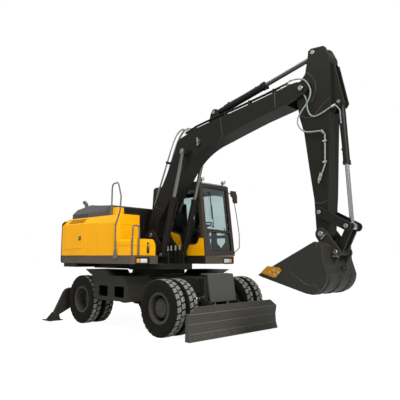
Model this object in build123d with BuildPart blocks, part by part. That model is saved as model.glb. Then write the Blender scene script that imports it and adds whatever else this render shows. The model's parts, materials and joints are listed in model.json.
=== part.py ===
"""Wheeled excavator: undercarriage on eight tyres, turning upper structure, boom, arm and bucket.

The frame is +X forward, +Y to the operator's left and +Z up, in millimetres. The origin is on the
ground, under the middle of the slew ring.
"""
from build123d import *
import os

os.makedirs("parts", exist_ok=True)

# Undercarriage
half_width = 1240
axle_height = 525
front_axle_x = 1455
rear_axle_x = -1190
outer_tyre_y = 1125
inner_tyre_y = 815
rim_flange_radius = 292
kingpin_y = 690
beam_top = 1050
beam_bottom = 700
beam_half_width = 300
deck_bottom = 1313
deck_top = 1485

# Dozer blade and its parallel linkage, as (forward, up)
blade_pivot_low = (1690, 421)
blade_pivot_high = (1690, 671)
blade_pin_low = (2160, 250)
blade_pin_high = (2160, 500)
blade_half_width = 1247
blade_ram_foot = (1800, 965)
blade_ram_eye = (1930, 372)
blade_ram_y = 180

# Outriggers, in a plane across the machine, as (outward, up)
outrigger_x = -2000
outrigger_pivot = (660, 500)
outrigger_lug = (920, 670)
outrigger_ram_foot = (250, 930)
outrigger_foot = (1400, 150)

# Boom, arm and bucket pins in their own upright plane, as (forward, up)
boom_y = -100
boom_half = 195
arm_half = 150
boom_foot = (140, 1920)
boom_ram_foot = (594, 1500)
boom_ram_eye = (1200, 3620)
boom_ram_offset = 300
arm_ram_foot = (1890, 4345)
arm_ram_eye = (4181, 4858)
boom_tip = (3971, 4275)
bucket_ram_foot = (4594, 3917)
rocker_pin = (4245, 2163)
bucket_pin = (4264, 1817)
link_pin = (4699, 1925)
bucket_link_pin = (4504, 1530)
bucket_half = 465

# Cab
cab_right = 292
cab_left = 1240
cab_rear = -640
cab_front_low = 1190
cab_front_high = 985
cab_top = 3120
wall = 50


def write(piece, name):
    """Name a finished piece and write it as a STEP file."""
    piece.part.label = name
    export_step(piece.part, f"parts/{name}.step")


def slab(outline, y_from, y_to, mode=Mode.ADD):
    """A plate of a side outline, given as (forward, up), between two places across the machine."""
    with BuildSketch(Plane.XZ.offset(-y_to)) as face:
        Polygon(*outline, align=None)
    extrude(face.sketch, amount=y_to - y_from, dir=(0, -1, 0), mode=mode)


def pin(place, y_from, y_to, radius, mode=Mode.ADD):
    """A round pin, boss or hole across the machine at (forward, up)."""
    with BuildSketch(Plane.XZ.offset(-y_to)) as face:
        with Locations(place):
            Circle(radius)
    extrude(face.sketch, amount=y_to - y_from, dir=(0, -1, 0), mode=mode)


def link(first, first_radius, second, second_radius, y_from, y_to, mode=Mode.ADD):
    """A link plate with a round end at each of two pins."""
    with BuildSketch(Plane.XZ.offset(-y_to)) as face:
        with Locations(first):
            Circle(first_radius)
        with Locations(second):
            Circle(second_radius)
        make_hull()
    extrude(face.sketch, amount=y_to - y_from, dir=(0, -1, 0), mode=mode)


def bar(start, end, radius, mode=Mode.ADD):
    """A round bar or bore from one point to another."""
    way = Vector(*end) - Vector(*start)
    with BuildSketch(Plane(origin=start, z_dir=way)) as face:
        Circle(radius)
    extrude(face.sketch, amount=way.length, mode=mode)


def tube(points, turn, radius):
    """A bent tube through points, with one bend radius."""
    with BuildLine() as way:
        FilletPolyline(*points, radius=turn)
    with BuildSketch(Plane(origin=way.line @ 0, z_dir=way.line % 0)) as section:
        Circle(radius)
    sweep(section.sketch, path=way.line)


def block(low, high, mode=Mode.ADD):
    """A rectangular block between two corners."""
    with BuildSketch(Plane.XY.offset(low[2])) as face:
        with Locations(((low[0] + high[0]) / 2, (low[1] + high[1]) / 2)):
            Rectangle(high[0] - low[0], high[1] - low[1])
    extrude(face.sketch, amount=high[2] - low[2], mode=mode)


def along(foot, eye, y, distance):
    """The point at a distance along a ram, measured from its foot pin."""
    way = Vector(eye[0] - foot[0], 0, eye[1] - foot[1]).normalized()
    place = Vector(foot[0], y, foot[1]) + way * distance
    return (place.X, place.Y, place.Z)


def ram_barrel(foot, eye, y, length, radius, rod_radius, eye_radius, eye_width):
    """The tube of a ram with its foot eye, its screwed gland and its bore."""
    tube_end = along(foot, eye, y, length)
    bar(along(foot, eye, y, eye_radius * 0.6), tube_end, radius)
    bar(along(foot, eye, y, length - radius), tube_end, radius * 1.16)
    pin(foot, y - eye_width / 2, y + eye_width / 2, eye_radius)
    pin(foot, y - eye_width, y + eye_width, eye_radius * 0.5 + 1, mode=Mode.SUBTRACT)
    bar(along(foot, eye, y, eye_radius * 1.5), along(foot, eye, y, length + 5), rod_radius + 4,
        mode=Mode.SUBTRACT)


def ram_rod(foot, eye, y, inside, rod_radius, eye_radius, eye_width):
    """The rod of a ram, from inside the tube to its eye, with the pin and caps it carries."""
    reach = (Vector(*eye) - Vector(*foot)).length
    bar(along(foot, eye, y, inside), along(foot, eye, y, reach - eye_radius * 0.6), rod_radius)
    pin(eye, y - eye_width / 2, y + eye_width / 2, eye_radius)
    pin(eye, y - eye_width / 2 - 8, y + eye_width / 2 + 8, eye_radius * 0.5)


# Chassis frame: a welded box beam with plates for the axles, the blade and the outriggers
beam_outline = [
    (-1900, beam_top), (1500, beam_top), (1560, 985), (1560, 760), (1000, 760), (900, beam_bottom),
    (-1900, beam_bottom),
]
front_plate = [
    (1480, beam_top - 5), (1480, 740), (1620, 660), (1620, 360), (1650, 345), (1730, 345),
    (1765, 380), (1790, 600), (1870, 900), (1870, 1030), (1800, beam_top - 5),
]
race_section = [(470, beam_top + 10), (530, beam_top + 10), (530, beam_top + 22), (640, beam_top + 22),
                (640, beam_top + 48), (585, beam_top + 55), (585, 1172), (470, 1172)]
pivot_half = 410
axle_saddle_top = 645
trunnion_height = 716
with BuildPart() as chassis_frame:
    slab(beam_outline, -beam_half_width, beam_half_width)
    block((-600, -535, beam_bottom), (600, 535, beam_top))
    with BuildSketch(Plane.XY.offset(beam_top - 30)):
        Circle(534)
    extrude(amount=50)
    with BuildSketch(Plane.XZ) as race:
        Polygon(*race_section, align=None)
    revolve(race.sketch, axis=Axis.Z)
    for side in (-1, 1):
        slab(front_plate, side * 255 - 15, side * 255 + 15)
    block((1500, -270, 1020), (1800, 270, beam_top - 5))
    for place in (blade_pivot_low, blade_pivot_high):
        pin(place, -pivot_half, pivot_half, 30)
        for side in (-1, 1):
            pin(place, side * 262 - 30, side * 262 + 30, 52)
    for side in (-1, 1):
        for ear in (-53, 53):
            ear_y = side * blade_ram_y + ear
            link(blade_ram_foot, 48, (1760, 1010), 40, ear_y - 9, ear_y + 9)
        pin(blade_ram_foot, side * blade_ram_y - 66, side * blade_ram_y + 66, 21)
    for rib_x in (outrigger_x - 66, outrigger_x + 66):
        with BuildSketch(Plane.YZ.offset(rib_x)) as rib:
            Polygon((-700, 420), (-760, 520), (-700, 600), (-420, 1000), (420, 1000),
                    (700, 600), (760, 520), (700, 420), (300, 400), (-300, 400), align=None)
        extrude(rib.sketch, amount=10, both=True)
    block((outrigger_x - 70, -60, 420), (outrigger_x + 70, 60, 990))
    block((outrigger_x + 55, -beam_half_width, beam_bottom), (-1880, beam_half_width, 1000))
    for side in (-1, 1):
        for outward, up in (outrigger_pivot, outrigger_ram_foot):
            bar((outrigger_x - 80, side * outward, up), (outrigger_x + 80, side * outward, up), 27)
    for side in (-1, 1):
        block((rear_axle_x - 120, side * 255 - 40, axle_saddle_top),
              (rear_axle_x + 120, side * 255 + 40, beam_bottom + 5))
        hanger_x = front_axle_x + side * 81
        block((hanger_x - 15, -90, 682), (hanger_x + 15, 90, 765))
        bar((hanger_x - 16, 0, trunnion_height), (hanger_x + 16, 0, trunnion_height), 26,
            mode=Mode.SUBTRACT)
    for side in (-1, 1):
        with BuildSketch(Plane.XZ.offset(-side * 330 + 12)) as lashing:
            with Locations((-1700, 640)):
                SlotOverall(180, 120)
        extrude(lashing.sketch, amount=24, dir=(0, 1, 0))
        block((-1770, side * 315 - 20, 690), (-1630, side * 315 + 20, 760))
        pin((-1740, 640), side * 330 - 60, side * 330 + 60, 28, mode=Mode.SUBTRACT)
    with BuildSketch(Plane.XZ.offset(-365)) as cover:
        Polygon((1700, 1140), (1868, 1132), (1880, 1124), (1962, 612), (1938, 608), (1858, 1108),
                (1700, 1116), align=None)
    extrude(cover.sketch, amount=730, dir=(0, -1, 0))
    for side in (-1, 1):
        block((1780, side * 255 - 12, 1010), (1868, side * 255 + 12, 1120))
write(chassis_frame, "chassis_frame")

# Step boxes: hollow lockers, each with two footholds and a flared wing over one tyre
step_outline = [(-760, 1070), (0, 1070), (330, 1068), (520, 900), (607, 575), (-590, 560), (-655, 760)]
step_inside = [(-690, 1046), (320, 1046), (495, 890), (578, 600), (-565, 588), (-625, 760)]
wing_outline = [(-1030, 1190), (-250, 1190), (-120, 1060), (-700, 1060), (-820, 1090)]
wing_inside = [(-960, 1168), (-262, 1168), (-170, 1072), (-700, 1082), (-810, 1110)]
step_holes = (-318, 245)
with BuildPart() as step_boxes:
    for turn in (-1, 1):
        near, far = sorted((turn * 540, turn * half_width))
        slab([(-turn * x, z) for x, z in step_outline], near, far)
        slab([(-turn * x, z) for x, z in step_inside], near + 25, far - 25, mode=Mode.SUBTRACT)
        with BuildSketch(Plane.XZ.offset(-turn * (half_width + 10))) as holes:
            for hole_x in step_holes:
                with Locations((-turn * hole_x, 754)):
                    RectangleRounded(342, 218, 40)
        extrude(holes.sketch, amount=60, dir=(0, -turn, 0), mode=Mode.SUBTRACT)
        near, far = sorted((turn * 665, turn * half_width))
        slab([(-turn * x, z) for x, z in wing_outline], near, far)
        slab([(-turn * x, z) for x, z in wing_inside], near + 20, far - 20, mode=Mode.SUBTRACT)
write(step_boxes, "step_boxes")

# Axles: a housing with a bulged differential. The front one has forks for the knuckles and the
# steering ram, and the rear one carries the travel motor, transfer case and drive shaft
hub_gap = 812
steer_rod_x = front_axle_x - 215
steer_rod_z = axle_height - 130
steer_eye_y = 660
for name, axle_x in (("front", front_axle_x), ("rear", rear_axle_x)):
    with BuildPart() as axle:
        reach = 600 if name == "front" else hub_gap - 8
        with BuildSketch(Plane.XY.offset(axle_height)) as shape:
            with BuildLine():
                Polyline((axle_x, -reach), (axle_x + 88, -reach), (axle_x + 85, -300),
                         (axle_x + 105, -200))
                ThreePointArc((axle_x + 105, -200), (axle_x + 162, 0), (axle_x + 105, 200))
                Polyline((axle_x + 105, 200), (axle_x + 85, 300), (axle_x + 88, reach),
                         (axle_x, reach), (axle_x, -reach))
            make_face()
        revolve(shape.sketch, axis=Axis((axle_x, 0, axle_height), (0, 1, 0)))
        nose = -1 if name == "front" else 1
        bar((axle_x, 0, axle_height), (axle_x + nose * 300, 0, axle_height), 75)
        if name == "front":
            for side in (-1, 1):
                for level in (-1, 1):
                    block((axle_x - 62, side * 665 - 75, axle_height + level * 145 - 22),
                          (axle_x + 62, side * 665 + 75, axle_height + level * 145 + 22))
                    block((axle_x - 45, side * 595 - 17, axle_height + level * 95 - 72),
                          (axle_x + 45, side * 595 + 17, axle_height + level * 95 + 72))
            block((axle_x - 60, -70, 640), (axle_x + 60, 70, 750))
            bar((axle_x - 100, 0, trunnion_height), (axle_x + 100, 0, trunnion_height), 24)
            bar((steer_rod_x, -200, steer_rod_z), (steer_rod_x, 200, steer_rod_z), 42)
            for side in (-1, 1):
                block((steer_rod_x, side * 150 - 25, steer_rod_z - 20),
                      (axle_x - 60, side * 150 + 25, axle_height))
            bar((steer_rod_x, -210, steer_rod_z), (steer_rod_x, 210, steer_rod_z), 25,
                mode=Mode.SUBTRACT)
        else:
            for side in (-1, 1):
                block((axle_x - 110, side * 255 - 38, axle_height),
                      (axle_x + 110, side * 255 + 38, axle_saddle_top))
            bar((rear_axle_x + 295, 0, axle_height), (rear_axle_x + 420, 0, axle_height), 60)
            bar((rear_axle_x + 400, 0, axle_height), (-430, 0, axle_height), 150)
            bar((-440, 0, axle_height), (-120, 0, axle_height), 105)
            bar((-130, 0, axle_height), (0, 0, axle_height), 55)
            bar((-10, 0, axle_height), (1040, 0, axle_height), 42)
            bar((1030, 0, axle_height), (front_axle_x - 300, 0, axle_height), 58)
            block((-700, -120, axle_height + 60), (-500, 120, beam_bottom))
    write(axle, f"{name}_axle")

# Steering rod: the double-ended rod of the steering ram, with an eye under each knuckle arm
with BuildPart() as steering_rod:
    bar((steer_rod_x, -steer_eye_y, steer_rod_z), (steer_rod_x, steer_eye_y, steer_rod_z), 17)
    for side in (-1, 1):
        bar((steer_rod_x, side * steer_eye_y, steer_rod_z - 14),
            (steer_rod_x, side * steer_eye_y, steer_rod_z + 12), 32)
write(steering_rod, "steering_rod")

# Knuckles: the swivel housings between the axle forks, with an arm back to the steering rod
for name, side in (("left", 1), ("right", -1)):
    with BuildPart() as knuckle:
        bar((front_axle_x, side * kingpin_y, axle_height - 116),
            (front_axle_x, side * kingpin_y, axle_height + 116), 60)
        bar((front_axle_x, side * kingpin_y, axle_height), (front_axle_x, side * 775, axle_height), 95)
        bar((front_axle_x, side * 765, axle_height), (front_axle_x, side * (hub_gap - 8), axle_height),
            150)
        with BuildSketch(Plane.XY.offset(axle_height - 108)) as arm_shape:
            with Locations((steer_rod_x, side * steer_eye_y)):
                Circle(32)
            with Locations((front_axle_x - 28, side * kingpin_y)):
                Circle(30)
            make_hull()
        extrude(arm_shape.sketch, amount=24)
    write(knuckle, f"knuckle_{name}")

# Wheels: twin tyres on two flanged rims, with the planetary hub in the middle
tyre_profile = [(-79, 268.5), (-79, 294), (-98, 298), (-125, 400), (-119, 468), (-104, 505), (-86, 525),
                (86, 525), (104, 505), (119, 468), (125, 400), (98, 298), (79, 294), (79, 268.5)]
for axle_name, axle_x in (("front", front_axle_x), ("rear", rear_axle_x)):
    hub_face = 1165 if axle_name == "front" else 1040
    hub_radius = 178 if axle_name == "front" else 150
    for name, side in (("left", 1), ("right", -1)):
        spin = Axis((axle_x, 0, axle_height), (0, 1, 0))
        with BuildPart() as tyres:
            with BuildSketch(Plane.XY.offset(axle_height)) as tyre_shape:
                for centre in (inner_tyre_y, outer_tyre_y):
                    points = [(axle_x + r, side * centre + w) for w, r in tyre_profile]
                    with BuildLine():
                        Polyline(*points, close=True)
                    make_face()
            revolve(tyre_shape.sketch, axis=spin)
        write(tyres, f"tyres_{axle_name}_{name}")
        with BuildPart() as rims:
            with BuildSketch(Plane.XY.offset(axle_height)) as rim_shape:
                with BuildLine():
                    Polyline(*[(axle_x + r, side * y) for y, r in [
                        (hub_gap, 0), (hub_gap, 160), (900, 175), (955, 185), (955, 240),
                        (725, 240), (725, rim_flange_radius), (733, rim_flange_radius),
                        (735, 268), (895, 268), (897, rim_flange_radius), (1043, rim_flange_radius),
                        (1045, 268), (1205, 268), (1207, rim_flange_radius),
                        (1215, rim_flange_radius), (1215, 245), (985, 240), (985, hub_radius),
                        (hub_face - 20, hub_radius), (hub_face, hub_radius - 20), (hub_face, 0)]],
                        close=True)
                make_face()
            revolve(rim_shape.sketch, axis=spin)
        write(rims, f"wheel_{axle_name}_{name}")

# Dozer blade: a curved moldboard with a cutting edge, end plates and lugs for the linkage
blade_front = [(2300, 20), (2324, 32), (2285, 150), (2274, 312), (2306, 481), (2278, 603)]
blade_back = [(2254, 600), (2278, 481), (2248, 312), (2258, 150), (2280, 20)]
with BuildPart() as dozer_blade:
    slab(blade_front + blade_back, -blade_half_width, blade_half_width)
    block((2204, -1180, 90), (2262, 1180, 330))
    for side in (-1, 1):
        end_plate = [(2296, 22), (2282, 150), (2272, 312), (2300, 481), (2274, 600), (2225, 560),
                     (2195, 360), (2190, 22)]
        slab(end_plate, side * (blade_half_width - 10) - 10, side * (blade_half_width - 10) + 10)
        for lug_y, lug_width in ((side * 296, 18), (side * 364, 14), (side * 426, 14)):
            slab([(2262, 150), (2262, 580), (2200, 590), (2110, 545), (2105, 470), (2130, 400),
                  (2105, 300), (2105, 215), (2160, 190)], lug_y - lug_width / 2, lug_y + lug_width / 2)
        pin(blade_pin_low, side * 330 - 42, side * 330 + 42, 28)
        pin(blade_pin_high, side * 395 - 38, side * 395 + 38, 24)
    for side in (-1, 1):
        with BuildSketch(Plane.YZ.offset(2150)) as corner:
            Polygon((side * 1020, 640), (side * 1260, 640), (side * 1260, 470), align=None)
        extrude(corner.sketch, amount=250, dir=(1, 0, 0), mode=Mode.SUBTRACT)
write(dozer_blade, "dozer_blade")

# Blade arms: the two lower links, joined by a tube that takes the ram lugs
with BuildPart() as blade_arms:
    for side in (-1, 1):
        link(blade_pivot_low, 58, blade_pin_low, 37, side * 330 - 22, side * 330 + 22)
        pin(blade_pivot_low, side * 330 - 22, side * 330 + 22, 31, mode=Mode.SUBTRACT)
        pin(blade_pin_low, side * 330 - 22, side * 330 + 22, 29, mode=Mode.SUBTRACT)
    bar((2002, -330, 303), (2002, 330, 303), 40)
    for side in (-1, 1):
        for ear in (-53, 53):
            ear_y = side * blade_ram_y + ear
            link(blade_ram_eye, 36, (1990, 312), 34, ear_y - 8, ear_y + 8)
write(blade_arms, "blade_arms")

# Blade links: the two upper links that keep the blade upright
with BuildPart() as blade_links:
    for side in (-1, 1):
        link(blade_pivot_high, 44, blade_pin_high, 38, side * 395 - 12, side * 395 + 12)
        pin(blade_pivot_high, side * 395 - 12, side * 395 + 12, 31, mode=Mode.SUBTRACT)
        pin(blade_pin_high, side * 395 - 12, side * 395 + 12, 25, mode=Mode.SUBTRACT)
write(blade_links, "blade_links")

# Blade rams: barrels and rods, one pair a piece
with BuildPart() as blade_barrels:
    for side in (-1, 1):
        ram_barrel(blade_ram_foot, blade_ram_eye, side * blade_ram_y, 370, 42, 25, 42, 76)
write(blade_barrels, "blade_ram_barrels")
with BuildPart() as blade_rods:
    for side in (-1, 1):
        ram_rod(blade_ram_foot, blade_ram_eye, side * blade_ram_y, 250, 25, 34, 62)
write(blade_rods, "blade_ram_rods")

# Outriggers: leg, pad, and ram on each side, behind the rear tyres
leg_outline = [(600, 520), (640, 440), (700, 436), (1330, 130), (1360, 96), (1440, 100), (1452, 165),
               (1215, 640), (1160, 700), (1075, 730), (960, 735), (895, 718), (820, 660), (640, 560)]
for name, side in (("left", 1), ("right", -1)):
    with BuildPart() as leg:
        with BuildSketch(Plane.YZ.offset(outrigger_x - 45)) as web:
            Polygon(*[(side * s, z) for s, z in leg_outline], align=None)
            with Locations((side * outrigger_pivot[0], outrigger_pivot[1])):
                Circle(70)
        extrude(web.sketch, amount=90, dir=(1, 0, 0))
        bar((outrigger_x - 60, side * outrigger_pivot[0], outrigger_pivot[1]),
            (outrigger_x + 60, side * outrigger_pivot[0], outrigger_pivot[1]), 28, mode=Mode.SUBTRACT)
        with BuildSketch(Plane.YZ.offset(outrigger_x - 31)) as pocket:
            Polygon(*[(side * s, z) for s, z in [(560, 900), (1010, 900), (1010, 640), (900, 575),
                                                 (780, 560), (560, 560)]], align=None)
        extrude(pocket.sketch, amount=62, dir=(1, 0, 0), mode=Mode.SUBTRACT)
        bar((outrigger_x - 50, side * outrigger_foot[0], outrigger_foot[1]),
            (outrigger_x + 50, side * outrigger_foot[0], outrigger_foot[1]), 31, mode=Mode.SUBTRACT)
    write(leg, f"outrigger_leg_{name}")
    with BuildPart() as pad:
        with BuildSketch(Plane.YZ.offset(outrigger_x - 160)) as sole:
            Polygon(*[(side * s, z) for s, z in [(1275, 22), (1290, 14), (1620, 14), (1655, 40),
                                                 (1610, 34), (1300, 34)]], align=None)
        extrude(sole.sketch, amount=320, dir=(1, 0, 0))
        for ear in (-62, 48):
            with BuildSketch(Plane.YZ.offset(outrigger_x + ear)) as ear_shape:
                Polygon(*[(side * s, z) for s, z in [(1300, 32), (1600, 32), (1455, 185),
                                                     (1400, 205), (1350, 185)]], align=None)
            extrude(ear_shape.sketch, amount=14, dir=(1, 0, 0))
        bar((outrigger_x - 66, side * outrigger_foot[0], outrigger_foot[1]),
            (outrigger_x + 66, side * outrigger_foot[0], outrigger_foot[1]), 26)
    write(pad, f"outrigger_pad_{name}")

    foot_point = (outrigger_x, side * outrigger_ram_foot[0], outrigger_ram_foot[1])
    lug_point = (outrigger_x, side * outrigger_lug[0], outrigger_lug[1])
    way = (Vector(*lug_point) - Vector(*foot_point)).normalized()

    def on_ram(distance):
        place = Vector(*foot_point) + way * distance
        return (place.X, place.Y, place.Z)

    with BuildPart() as ram_tube:
        bar(on_ram(20), on_ram(400), 42)
        bar(on_ram(355), on_ram(400), 47)
        bar((outrigger_x - 32, foot_point[1], foot_point[2]),
            (outrigger_x + 32, foot_point[1], foot_point[2]), 44)
        bar((outrigger_x - 60, foot_point[1], foot_point[2]),
            (outrigger_x + 60, foot_point[1], foot_point[2]), 28, mode=Mode.SUBTRACT)
        bar(on_ram(60), on_ram(410), 28, mode=Mode.SUBTRACT)
    write(ram_tube, f"outrigger_ram_barrel_{name}")
    with BuildPart() as ram_stem:
        reach = (Vector(*lug_point) - Vector(*foot_point)).length
        bar(on_ram(325), on_ram(reach - 15), 24)
        bar((outrigger_x - 19, lug_point[1], lug_point[2]),
            (outrigger_x + 19, lug_point[1], lug_point[2]), 36)
    write(ram_stem, f"outrigger_ram_rod_{name}")

# Upper frame: the turntable plate, the side decks with a recessed lamp unit in each front end, the
# two boom brackets and the firewall
bracket_outline = [
    (-620, 1300), (-560, 1420), (-120, 1900), (20, 2030), (140, 2050), (250, 1990), (330, 1850),
    (600, 1600), (680, 1560), (705, 1480), (690, 1400), (720, 1300),
]
lamp_low = 1316
lamp_high = 1446
lamp_units = ((660, -1155, -805, ((-1120, -1040), (-1022, -860))),
              (cab_front_low, 850, 1165, ((885, 1050), (1068, 1135))))
with BuildPart() as upper_frame:
    with BuildSketch(Plane.XY.offset(1185)) as ring:
        Circle(660)
    extrude(ring.sketch, amount=130)
    block((-2060, -1200, 1225), (-1500, 1200, deck_bottom + 5))
    block((-1700, -585, 1200), (780, cab_right, deck_bottom + 2))
    for low, high in (((-2100, -half_width, deck_bottom), (660, -585, deck_top)),
                      ((-2100, cab_right, deck_bottom), (cab_front_low, half_width, deck_top))):
        block(low, high)
    block((-2100, -600, deck_bottom), (-690, 300, deck_top))
    for side in (-1, 1):
        centre = boom_y + side * 215
        slab(bracket_outline, centre - 14, centre + 14)
        boss_low, boss_high = sorted((boom_y + side * 202, boom_y + side * 234))
        pin(boom_foot, boss_low, boss_high, 100)
        pin(boom_ram_foot, boss_low, boss_high, 88)
        pin_low, pin_high = sorted((boom_y + side * 205, boom_y + side * (boom_ram_offset + 56)))
        pin(boom_ram_foot, pin_low, pin_high, 42)
    pin(boom_foot, boom_y - 262, boom_y + 262, 55)
    block((-700, -600, deck_bottom), (-655, cab_right + 300, 2590))
    front_corners = upper_frame.edges().filter_by(Axis.Z).filter_by(
        lambda edge: abs(abs(edge.center().Y) - half_width) < 1 and edge.center().X > 600)
    fillet(front_corners, radius=60)
    for face_x, low, high, lenses in lamp_units:
        block((face_x - 22, low, lamp_low), (face_x + 5, high, lamp_high), mode=Mode.SUBTRACT)
        for lens_low, lens_high in lenses:
            block((face_x - 25, lens_low, lamp_low + 25), (face_x - 6, lens_high, lamp_high - 25))
write(upper_frame, "upper_frame")

# Counterweight: a cast block with a bowed back, its lower lip rounded
with BuildPart() as counterweight:
    with BuildSketch(Plane.XY.offset(deck_bottom - 5)):
        with BuildLine():
            Polyline((-2105, -half_width), (-2150, -half_width))
            ThreePointArc((-2150, -half_width), (-2215, -1195), (-2240, -1130))
            ThreePointArc((-2240, -1130), (-2400, 0), (-2240, 1130))
            ThreePointArc((-2240, 1130), (-2215, 1195), (-2150, half_width))
            Polyline((-2150, half_width), (-2105, half_width), (-2105, -half_width))
        make_face()
    extrude(amount=1000)
    rear_top = counterweight.faces().sort_by(Axis.Z)[-1].edges().filter_by(Axis.Y, reverse=True)
    fillet(rear_top, radius=110)
    rear_low = counterweight.faces().sort_by(Axis.Z)[0].edges().filter_by(Axis.Y, reverse=True)
    fillet(rear_low, radius=60)
write(counterweight, "counterweight")

# Engine block: one plain mass behind the counterweight's front face
with BuildPart() as engine_block:
    block((-1960, -420, deck_top), (-1000, 470, 2220))
write(engine_block, "engine_block")

# House sides: hollow lockers each side of the engine, with sloped shoulders and a door opening
shoulder_low = 2190
shoulder_high = 2350
shoulder_inner = 1095
door_fronts = {"right": -1064, "left": -764}
with BuildPart() as house_sides:
    for name, side, front in (("right", -1, -600), ("left", 1, -700)):
        section = [(side * half_width, deck_top), (side * half_width, shoulder_low),
                   (side * shoulder_inner, shoulder_high), (side * 640, shoulder_high),
                   (side * 640, deck_top)]
        with BuildSketch(Plane.YZ.offset(-2100)) as outer:
            Polygon(*section, align=None)
        extrude(outer.sketch, amount=front + 2100, dir=(1, 0, 0))
        hollow = [(side * (half_width - 35), deck_top + 30), (side * (half_width - 35), 2175),
                  (side * 1080, shoulder_high - 35), (side * 670, shoulder_high - 35),
                  (side * 670, deck_top + 30)]
        with BuildSketch(Plane.YZ.offset(-2065)) as inner:
            Polygon(*hollow, align=None)
        extrude(inner.sketch, amount=front + 2030, dir=(1, 0, 0), mode=Mode.SUBTRACT)
        opening_rear = -2080
        opening_front = door_fronts[name] - 16
        with BuildSketch(Plane.XZ.offset(-side * (half_width + 20))) as opening:
            with Locations(((opening_rear + opening_front) / 2, 1850)):
                Rectangle(opening_front - opening_rear, 640)
        extrude(opening.sketch, amount=80, dir=(0, -side, 0), mode=Mode.SUBTRACT)
write(house_sides, "house_sides")

# Grilles: a frame of slats in each sloped shoulder, where the cooling air comes in
grille_middle = -1540
with BuildPart() as grilles:
    for side in (-1, 1):
        shoulder = Plane(origin=(grille_middle, side * (half_width + shoulder_inner) / 2,
                                 (shoulder_low + shoulder_high) / 2),
                         x_dir=(1, 0, 0),
                         z_dir=(0, side * (shoulder_high - shoulder_low), half_width - shoulder_inner))
        with BuildSketch(shoulder.offset(0.5)) as grille_frame:
            Rectangle(640, 120)
            with GridLocations(48, 54, 12, 2):
                Rectangle(34, 40, mode=Mode.SUBTRACT)
        extrude(grille_frame.sketch, amount=9)
write(grilles, "grilles")

# Service doors: pressed panels hinged at their rear edges, with a raised middle
for name, side in (("right", -1), ("left", 1)):
    front = door_fronts[name]
    with BuildPart() as service_door:
        rear = -2096
        with BuildSketch(Plane.XZ.offset(-side * (half_width + 1))) as skin:
            with Locations(((rear + front) / 2, 1838)):
                Rectangle(front - rear, 690)
        extrude(skin.sketch, amount=12, dir=(0, side, 0))
        with BuildSketch(Plane.XZ.offset(-side * (half_width + 1))) as inside:
            with Locations(((rear + front) / 2, 1850)):
                Rectangle(front - rear - 60, 620)
        extrude(inside.sketch, amount=26, dir=(0, -side, 0))
        with BuildSketch(Plane.XZ.offset(-side * (half_width + 12))) as pressing:
            with Locations(((rear + front) / 2 + 10, 1880)):
                RectangleRounded(front - rear - 190, 480, 40)
        extrude(pressing.sketch, amount=6, dir=(0, side, 0))
    write(service_door, f"service_door_{name}")

# Fuel tank body: the tall yellow box ahead of the engine house, its front corner rounded
with BuildPart() as tank_body:
    section = [(-half_width, deck_top), (-half_width, shoulder_low - 20), (-shoulder_inner, shoulder_high),
               (-640, shoulder_high), (-640, deck_top)]
    with BuildSketch(Plane.YZ.offset(-597)) as outer:
        Polygon(*section, align=None)
    extrude(outer.sketch, amount=597 + 95, dir=(1, 0, 0))
    corner = tank_body.edges().filter_by(Axis.Z).sort_by(Axis.X)[-2:].sort_by(Axis.Y)[0]
    fillet(corner, radius=120)
    with BuildSketch(Plane.XY.offset(shoulder_high - 5)) as neck:
        with Locations((-205, -985)):
            RectangleRounded(180, 190, 30)
    extrude(neck.sketch, amount=165)
    for recess_low, recess_high in ((1515, 1785), (2014, 2130)):
        block((83, -1110, recess_low), (100, -785, recess_high), mode=Mode.SUBTRACT)
write(tank_body, "tank_body")

# Tool box: the low locker ahead of the tank, with a rounded lid
tool_box_rear = 105
tool_box_front = 588
with BuildPart() as tool_box:
    block((tool_box_rear, -half_width, deck_top), (tool_box_front, -590, 1680))
    block((tool_box_rear + 25, -half_width + 25, deck_top + 25), (tool_box_front - 25, -615, 1690),
          mode=Mode.SUBTRACT)
write(tool_box, "tool_box")
with BuildPart() as tool_box_lid:
    with BuildSketch(Plane.YZ.offset(tool_box_rear)) as lid_section:
        Polygon((-half_width, 1684), (-half_width, 1770), (-1200, 1820), (-680, 1820), (-640, 1800),
                (-590, 1700), (-590, 1684), align=None)
    extrude(lid_section.sketch, amount=tool_box_front - tool_box_rear, dir=(1, 0, 0))
    block((tool_box_rear + 30, -half_width + 30, 1600), (tool_box_front - 30, -690, 1785),
          mode=Mode.SUBTRACT)
write(tool_box_lid, "tool_box_lid")

# Engine hood: the dark lid over the engine, hinged at its front edge, with the exhaust tail pipe
with BuildPart() as engine_hood:
    hood_outline = [(-2090, shoulder_high + 6), (-2090, 2480), (-2010, 2590), (-1500, 2680),
                    (-1150, 2640), (-720, 2610), (-710, shoulder_high + 6)]
    slab(hood_outline, -1000, 1000)
    hood_inner = [(-2050, 2300), (-2050, 2465), (-1995, 2560), (-1500, 2645), (-1150, 2605),
                  (-760, 2578), (-755, 2300)]
    slab(hood_inner, -960, 960, mode=Mode.SUBTRACT)
    for side in (-1, 1):
        with BuildSketch(Plane.YZ.offset(-2150)) as shoulder:
            Polygon((side * 1010, 2450), (side * 1010, 2750), (side * 800, 2750), align=None)
        extrude(shoulder.sketch, amount=1500, dir=(1, 0, 0), mode=Mode.SUBTRACT)
    for side in (-1, 1):
        for slot_x in range(-1980, -1380, 60):
            low, high = sorted((side * 985, side * 1005))
            block((slot_x, low, 2385), (slot_x + 34, high, 2455), mode=Mode.SUBTRACT)
    tube([(-1960, -700, 2540), (-1960, -700, 2740), (-2075, -700, 2810)], 70, 45)
write(engine_hood, "engine_hood")

# Swing motor and control valve in the boom well
with BuildPart() as valve_group:
    block((-600, -520, deck_bottom + 2), (-330, -335, 1640))
    bar((-470, -100, deck_bottom + 2), (-470, -100, 1760), 110)
    block((-600, 135, deck_bottom + 2), (-350, 285, 1700))
write(valve_group, "valve_group")

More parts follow.
